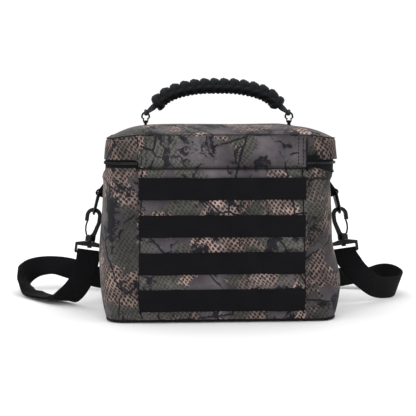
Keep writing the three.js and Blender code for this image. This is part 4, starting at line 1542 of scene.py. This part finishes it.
hooks = {
    "hookX": 155.5 * mm,
    "hookZ": 82.3 * mm,
    "tilt": math.radians(8),
    "barDrop": -14.3 * mm,
    "barrel": 5.6 * mm,
    "barrelHigh": 7 * mm,
}


# The ribbed barrel the hook turns in
def makeBarrel(sign):
    clearSelection()
    bpy.ops.mesh.primitive_cylinder_add(vertices=32, radius=hooks["barrel"], depth=hooks["barrelHigh"])
    barrel = bpy.context.active_object
    subdivideRings(barrel)

    def seat(co):
        height = co.z + hooks["barrelHigh"] / 2 + 0.5 * mm
        across = 1 - 0.14 * math.exp(-(((height - 3.4 * mm) / (0.7 * mm)) ** 2)) - 0.12 * smoothStep(height,
                5 * mm, 7 * mm)
        x, y = co.x * across, co.y * across
        tilt = sign * hooks["tilt"]
        return Vector((sign * hooks["hookX"] + x * math.cos(tilt) - height * math.sin(tilt), y,
                       hooks["hookZ"] + x * math.sin(tilt) + height * math.cos(tilt)))
    moveVertices(barrel, seat)
    addModifier(barrel, "BEVEL", width=0.4 * mm, segments=2, limit_method="ANGLE")
    applyAll(barrel)
    return barrel


def subdivideRings(piece):
    pick(piece)
    bpy.ops.object.mode_set(mode="EDIT")
    for place in evenPlaces(-hooks["barrelHigh"] / 2, hooks["barrelHigh"] / 2, 0.6 * mm):
        bpy.ops.mesh.select_all(action="SELECT")
        bpy.ops.mesh.bisect(plane_co=(0, 0, place), plane_no=(0, 0, 1))
    bpy.ops.object.mode_set(mode="OBJECT")


def makeHooks():
    for sign, side in ((-1, "left"), (1, "right")):
        tab = refine(f"ring_tab_{side}", 0.35 * mm)
        writeUv(tab, lambda co, face: (co.z, co.y))
        finishPiece(tab, f"side_tab_{side}", "bag", "webbing", strapWebbing, (f"ring_tab_{side}",), smooth=40)
        ring = refine(f"d_ring_{side}", 0)
        subdivide(ring)
        addModifier(ring, "DISPLACE", strength=0.45 * mm, mid_level=0)
        applyAll(ring)
        finishPiece(ring, f"steel_ring_{side}", f"d_ring_{side}", "black_steel", coatedWire,
                    (f"d_ring_{side}",))
        for node, name, owner, slot, finish, bevel in (
            ("hook_claw", "claw", "hook_{}", "hook_plastic", hookMoulding, 0.9 * mm),
            ("hook_rivet", "rivet", "hook_{}", "black_steel", coatedWire, 0.3 * mm),
            ("hook_gate", "gate", "hook_gate_{}", "black_steel", coatedWire, 0.4 * mm),
            ("strap_frame", "frame_loop", "bag", "hook_plastic", hookMoulding, 0.7 * mm),
        ):
            part = refine(f"{node}_{side}", bevel, 3)
            if node == "hook_claw":
                part = joinPieces([part, makeBarrel(sign)])
            finishPiece(part, f"{name}_{side}", owner.format(side), slot, finish, (f"{node}_{side}",),
                        smooth=40)
    slider = refine("strap_slider", 0.6 * mm, 3)
    finishPiece(slider, "slide_adjuster", "bag", "hook_plastic", hookMoulding, ("strap_slider",), smooth=40)
    print("hooks ready")


makeHooks()


strap = {
    "width": 28 * mm,
    "thickness": 1.4 * mm,
    "wrap": 3.2,
    "sliderX": -52,
    "sliderY": 123.8,
    "sliderZ": 18.7,
    "edgeUp": 14.5,
    "behind": 121,
    "under": -2.8,
    "over": 4.9,
    "pitch": 12,
}


def strapRoute():
    tilt = hooks["tilt"]
    hookX, hookZ = hooks["hookX"] / mm, hooks["hookZ"] / mm
    drop = hooks["barDrop"] / mm
    barX, barZ = hookX - drop * math.sin(tilt), hookZ + drop * math.cos(tilt)
    edgeUp, behind = strap["edgeUp"], strap["behind"]
    across = (0, 0, -1)

    def wrapPoint(sign, part):
        angle = part * math.pi
        up = strap["wrap"] * math.sin(angle)
        place = (sign * (barX - up * math.sin(tilt)), -strap["wrap"] * math.cos(angle), barZ + up
                 * math.cos(tilt))
        return place, (math.cos(tilt), 0, sign * math.sin(tilt))

    left = [
        (3.1, -3, 60, 0.99, 0, -0.12), (7, -1.6, 45, 0.97, 0, -0.2), (14.5, 3, 29, 0.93, -0.05, -0.33),
        (26.5, 12, 14, 0.88, 0.1, -0.42), (42.5, 28, 5.2, 0.86, 0.42, -0.16), (60.5, 50, 3.4, 0.84, 0.52,
                -0.1),
        (79.5, 76, 3.6, 0.8, 0.58, -0.05), (91.5, 95, 11, 0.7, 0.2, -0.62), (96.5, 117, 21.5, 0.3, -0.3,
                -0.9),
        (84.5, 133, 28.5, 0, -0.6, -0.8), (58.5, 137, 31, 0, -0.72, -0.7), (27.5, 131, 25, 0, -0.45, -0.9),
        (-5.5, 125, edgeUp + 1.5, 0, -0.1, -1),
    ]
    leftRun = [((-hookX - row[0], row[1], row[2]), row[3:]) for row in left]
    away = strap["pitch"] * 2.6
    x = strap["sliderX"]
    weave = [(-1, strap["under"]), (-0.62, strap["under"] * 0.8)]
    weave = [(t * strap["pitch"], n) for t, n in weave]
    over = strap["over"]
    weave += [(-over, 0.6), (-over * 0.72, over * 0.72), (0, over), (over * 0.72, over * 0.72), (over, 0.6)]
    weave += [(0.62 * strap["pitch"], strap["under"] * 0.8), (strap["pitch"], strap["under"])]
    backRun = [((x - away - 22, behind, edgeUp + 2), across), ((x - away, behind, strap["sliderZ"]), across)]
    backRun += [((x + t, strap["sliderY"] + n, strap["sliderZ"]), across) for t, n in weave]
    backRun += [((x + away, behind, strap["sliderZ"]), across), ((30, behind, edgeUp + 1), across),
                ((110, behind, edgeUp), across)]
    right = [
        (4.5, 121, 14, 0, -0.5, -0.87), (47.5, 115, 17, 0, -0.88, -0.47), (79.5, 99, 22, -0.12, -0.2, -0.97),
        (88.5, 77, 18.5, -0.3, 0, -0.95), (83.5, 56, edgeUp + 0.5, -0.34, 0, -0.94),
        (69.5, 39, edgeUp + 0.3, -0.24, 0, -0.97),
        (48.5, 23, 18.7, -0.35, 0, -0.94), (30.5, 10, 31, -0.62, 0, -0.78), (16.5, 2, 44, -0.84, 0, -0.54),
        (8.7, -1.6, 54.5, -0.95, 0, -0.3), (3.5, -3, 62, -0.99, 0, -0.13),
    ]
    rightRun = [((hookX + row[0], row[1], row[2]), row[3:]) for row in right]

    # A layer laid a little off another run
    def beside(run, distances):
        moved = []
        for i, (place, side) in enumerate(run):
            before, after = Vector(run[max(i - 1, 0)][0]), Vector(run[min(i + 1, len(run) - 1)][0])
            out = (after - before).normalized().cross(Vector(side).normalized()).normalized()
            moved.append((tuple(Vector(place) - out * distances[min(i, len(distances) - 1)]), side))
        return moved

    parts = (0, 0.25, 0.5, 0.75, 1)
    leftWrap = [wrapPoint(-1, part) for part in reversed(parts)]
    rightWrap = [(place, tuple(-c for c in side)) for place, side in (wrapPoint(1, part) for part in parts)]
    doubled = beside(leftRun + backRun[:3], (4.4, 2.9, 2.2))
    sewn = []
    for part in (-0.5, -0.2, 0.1, 0.4, 0.7):
        angle = part * math.pi
        sewn.append(((x + strap["wrap"] * math.cos(angle), strap["sliderY"] + strap["wrap"] * math.sin(angle),
                      strap["sliderZ"]), across))
    returned = list(reversed(doubled + sewn))
    sewnEnd = beside(list(reversed(rightRun)), (-4.4, -2.9, -2.2))[:3]
    route = returned + leftWrap + leftRun + backRun + rightRun + rightWrap + sewnEnd
    return routeStations([Vector(place) * mm for place, side in route],
                         [Vector(side).normalized() for place, side in route], 6)


def makeStrap():
    stations = strapRoute()
    length = stations[-1][0]
    cuts = 520
    strip = makeStrip(length, strap["width"], strap["thickness"], cuts, 6, 0)
    follow(strip, stations)
    recalculate(strip)
    addModifier(strip, "BEVEL", width=0.3 * mm, segments=2, limit_method="ANGLE",
                angle_limit=math.radians(60))
    applyAll(strip)
    finishPiece(strip, "carry_strap", "bag", "webbing", strapWebbing, ("shoulder_strap",), smooth=50)
    print("strap ready, length", round(length, 3), "m")


makeStrap()
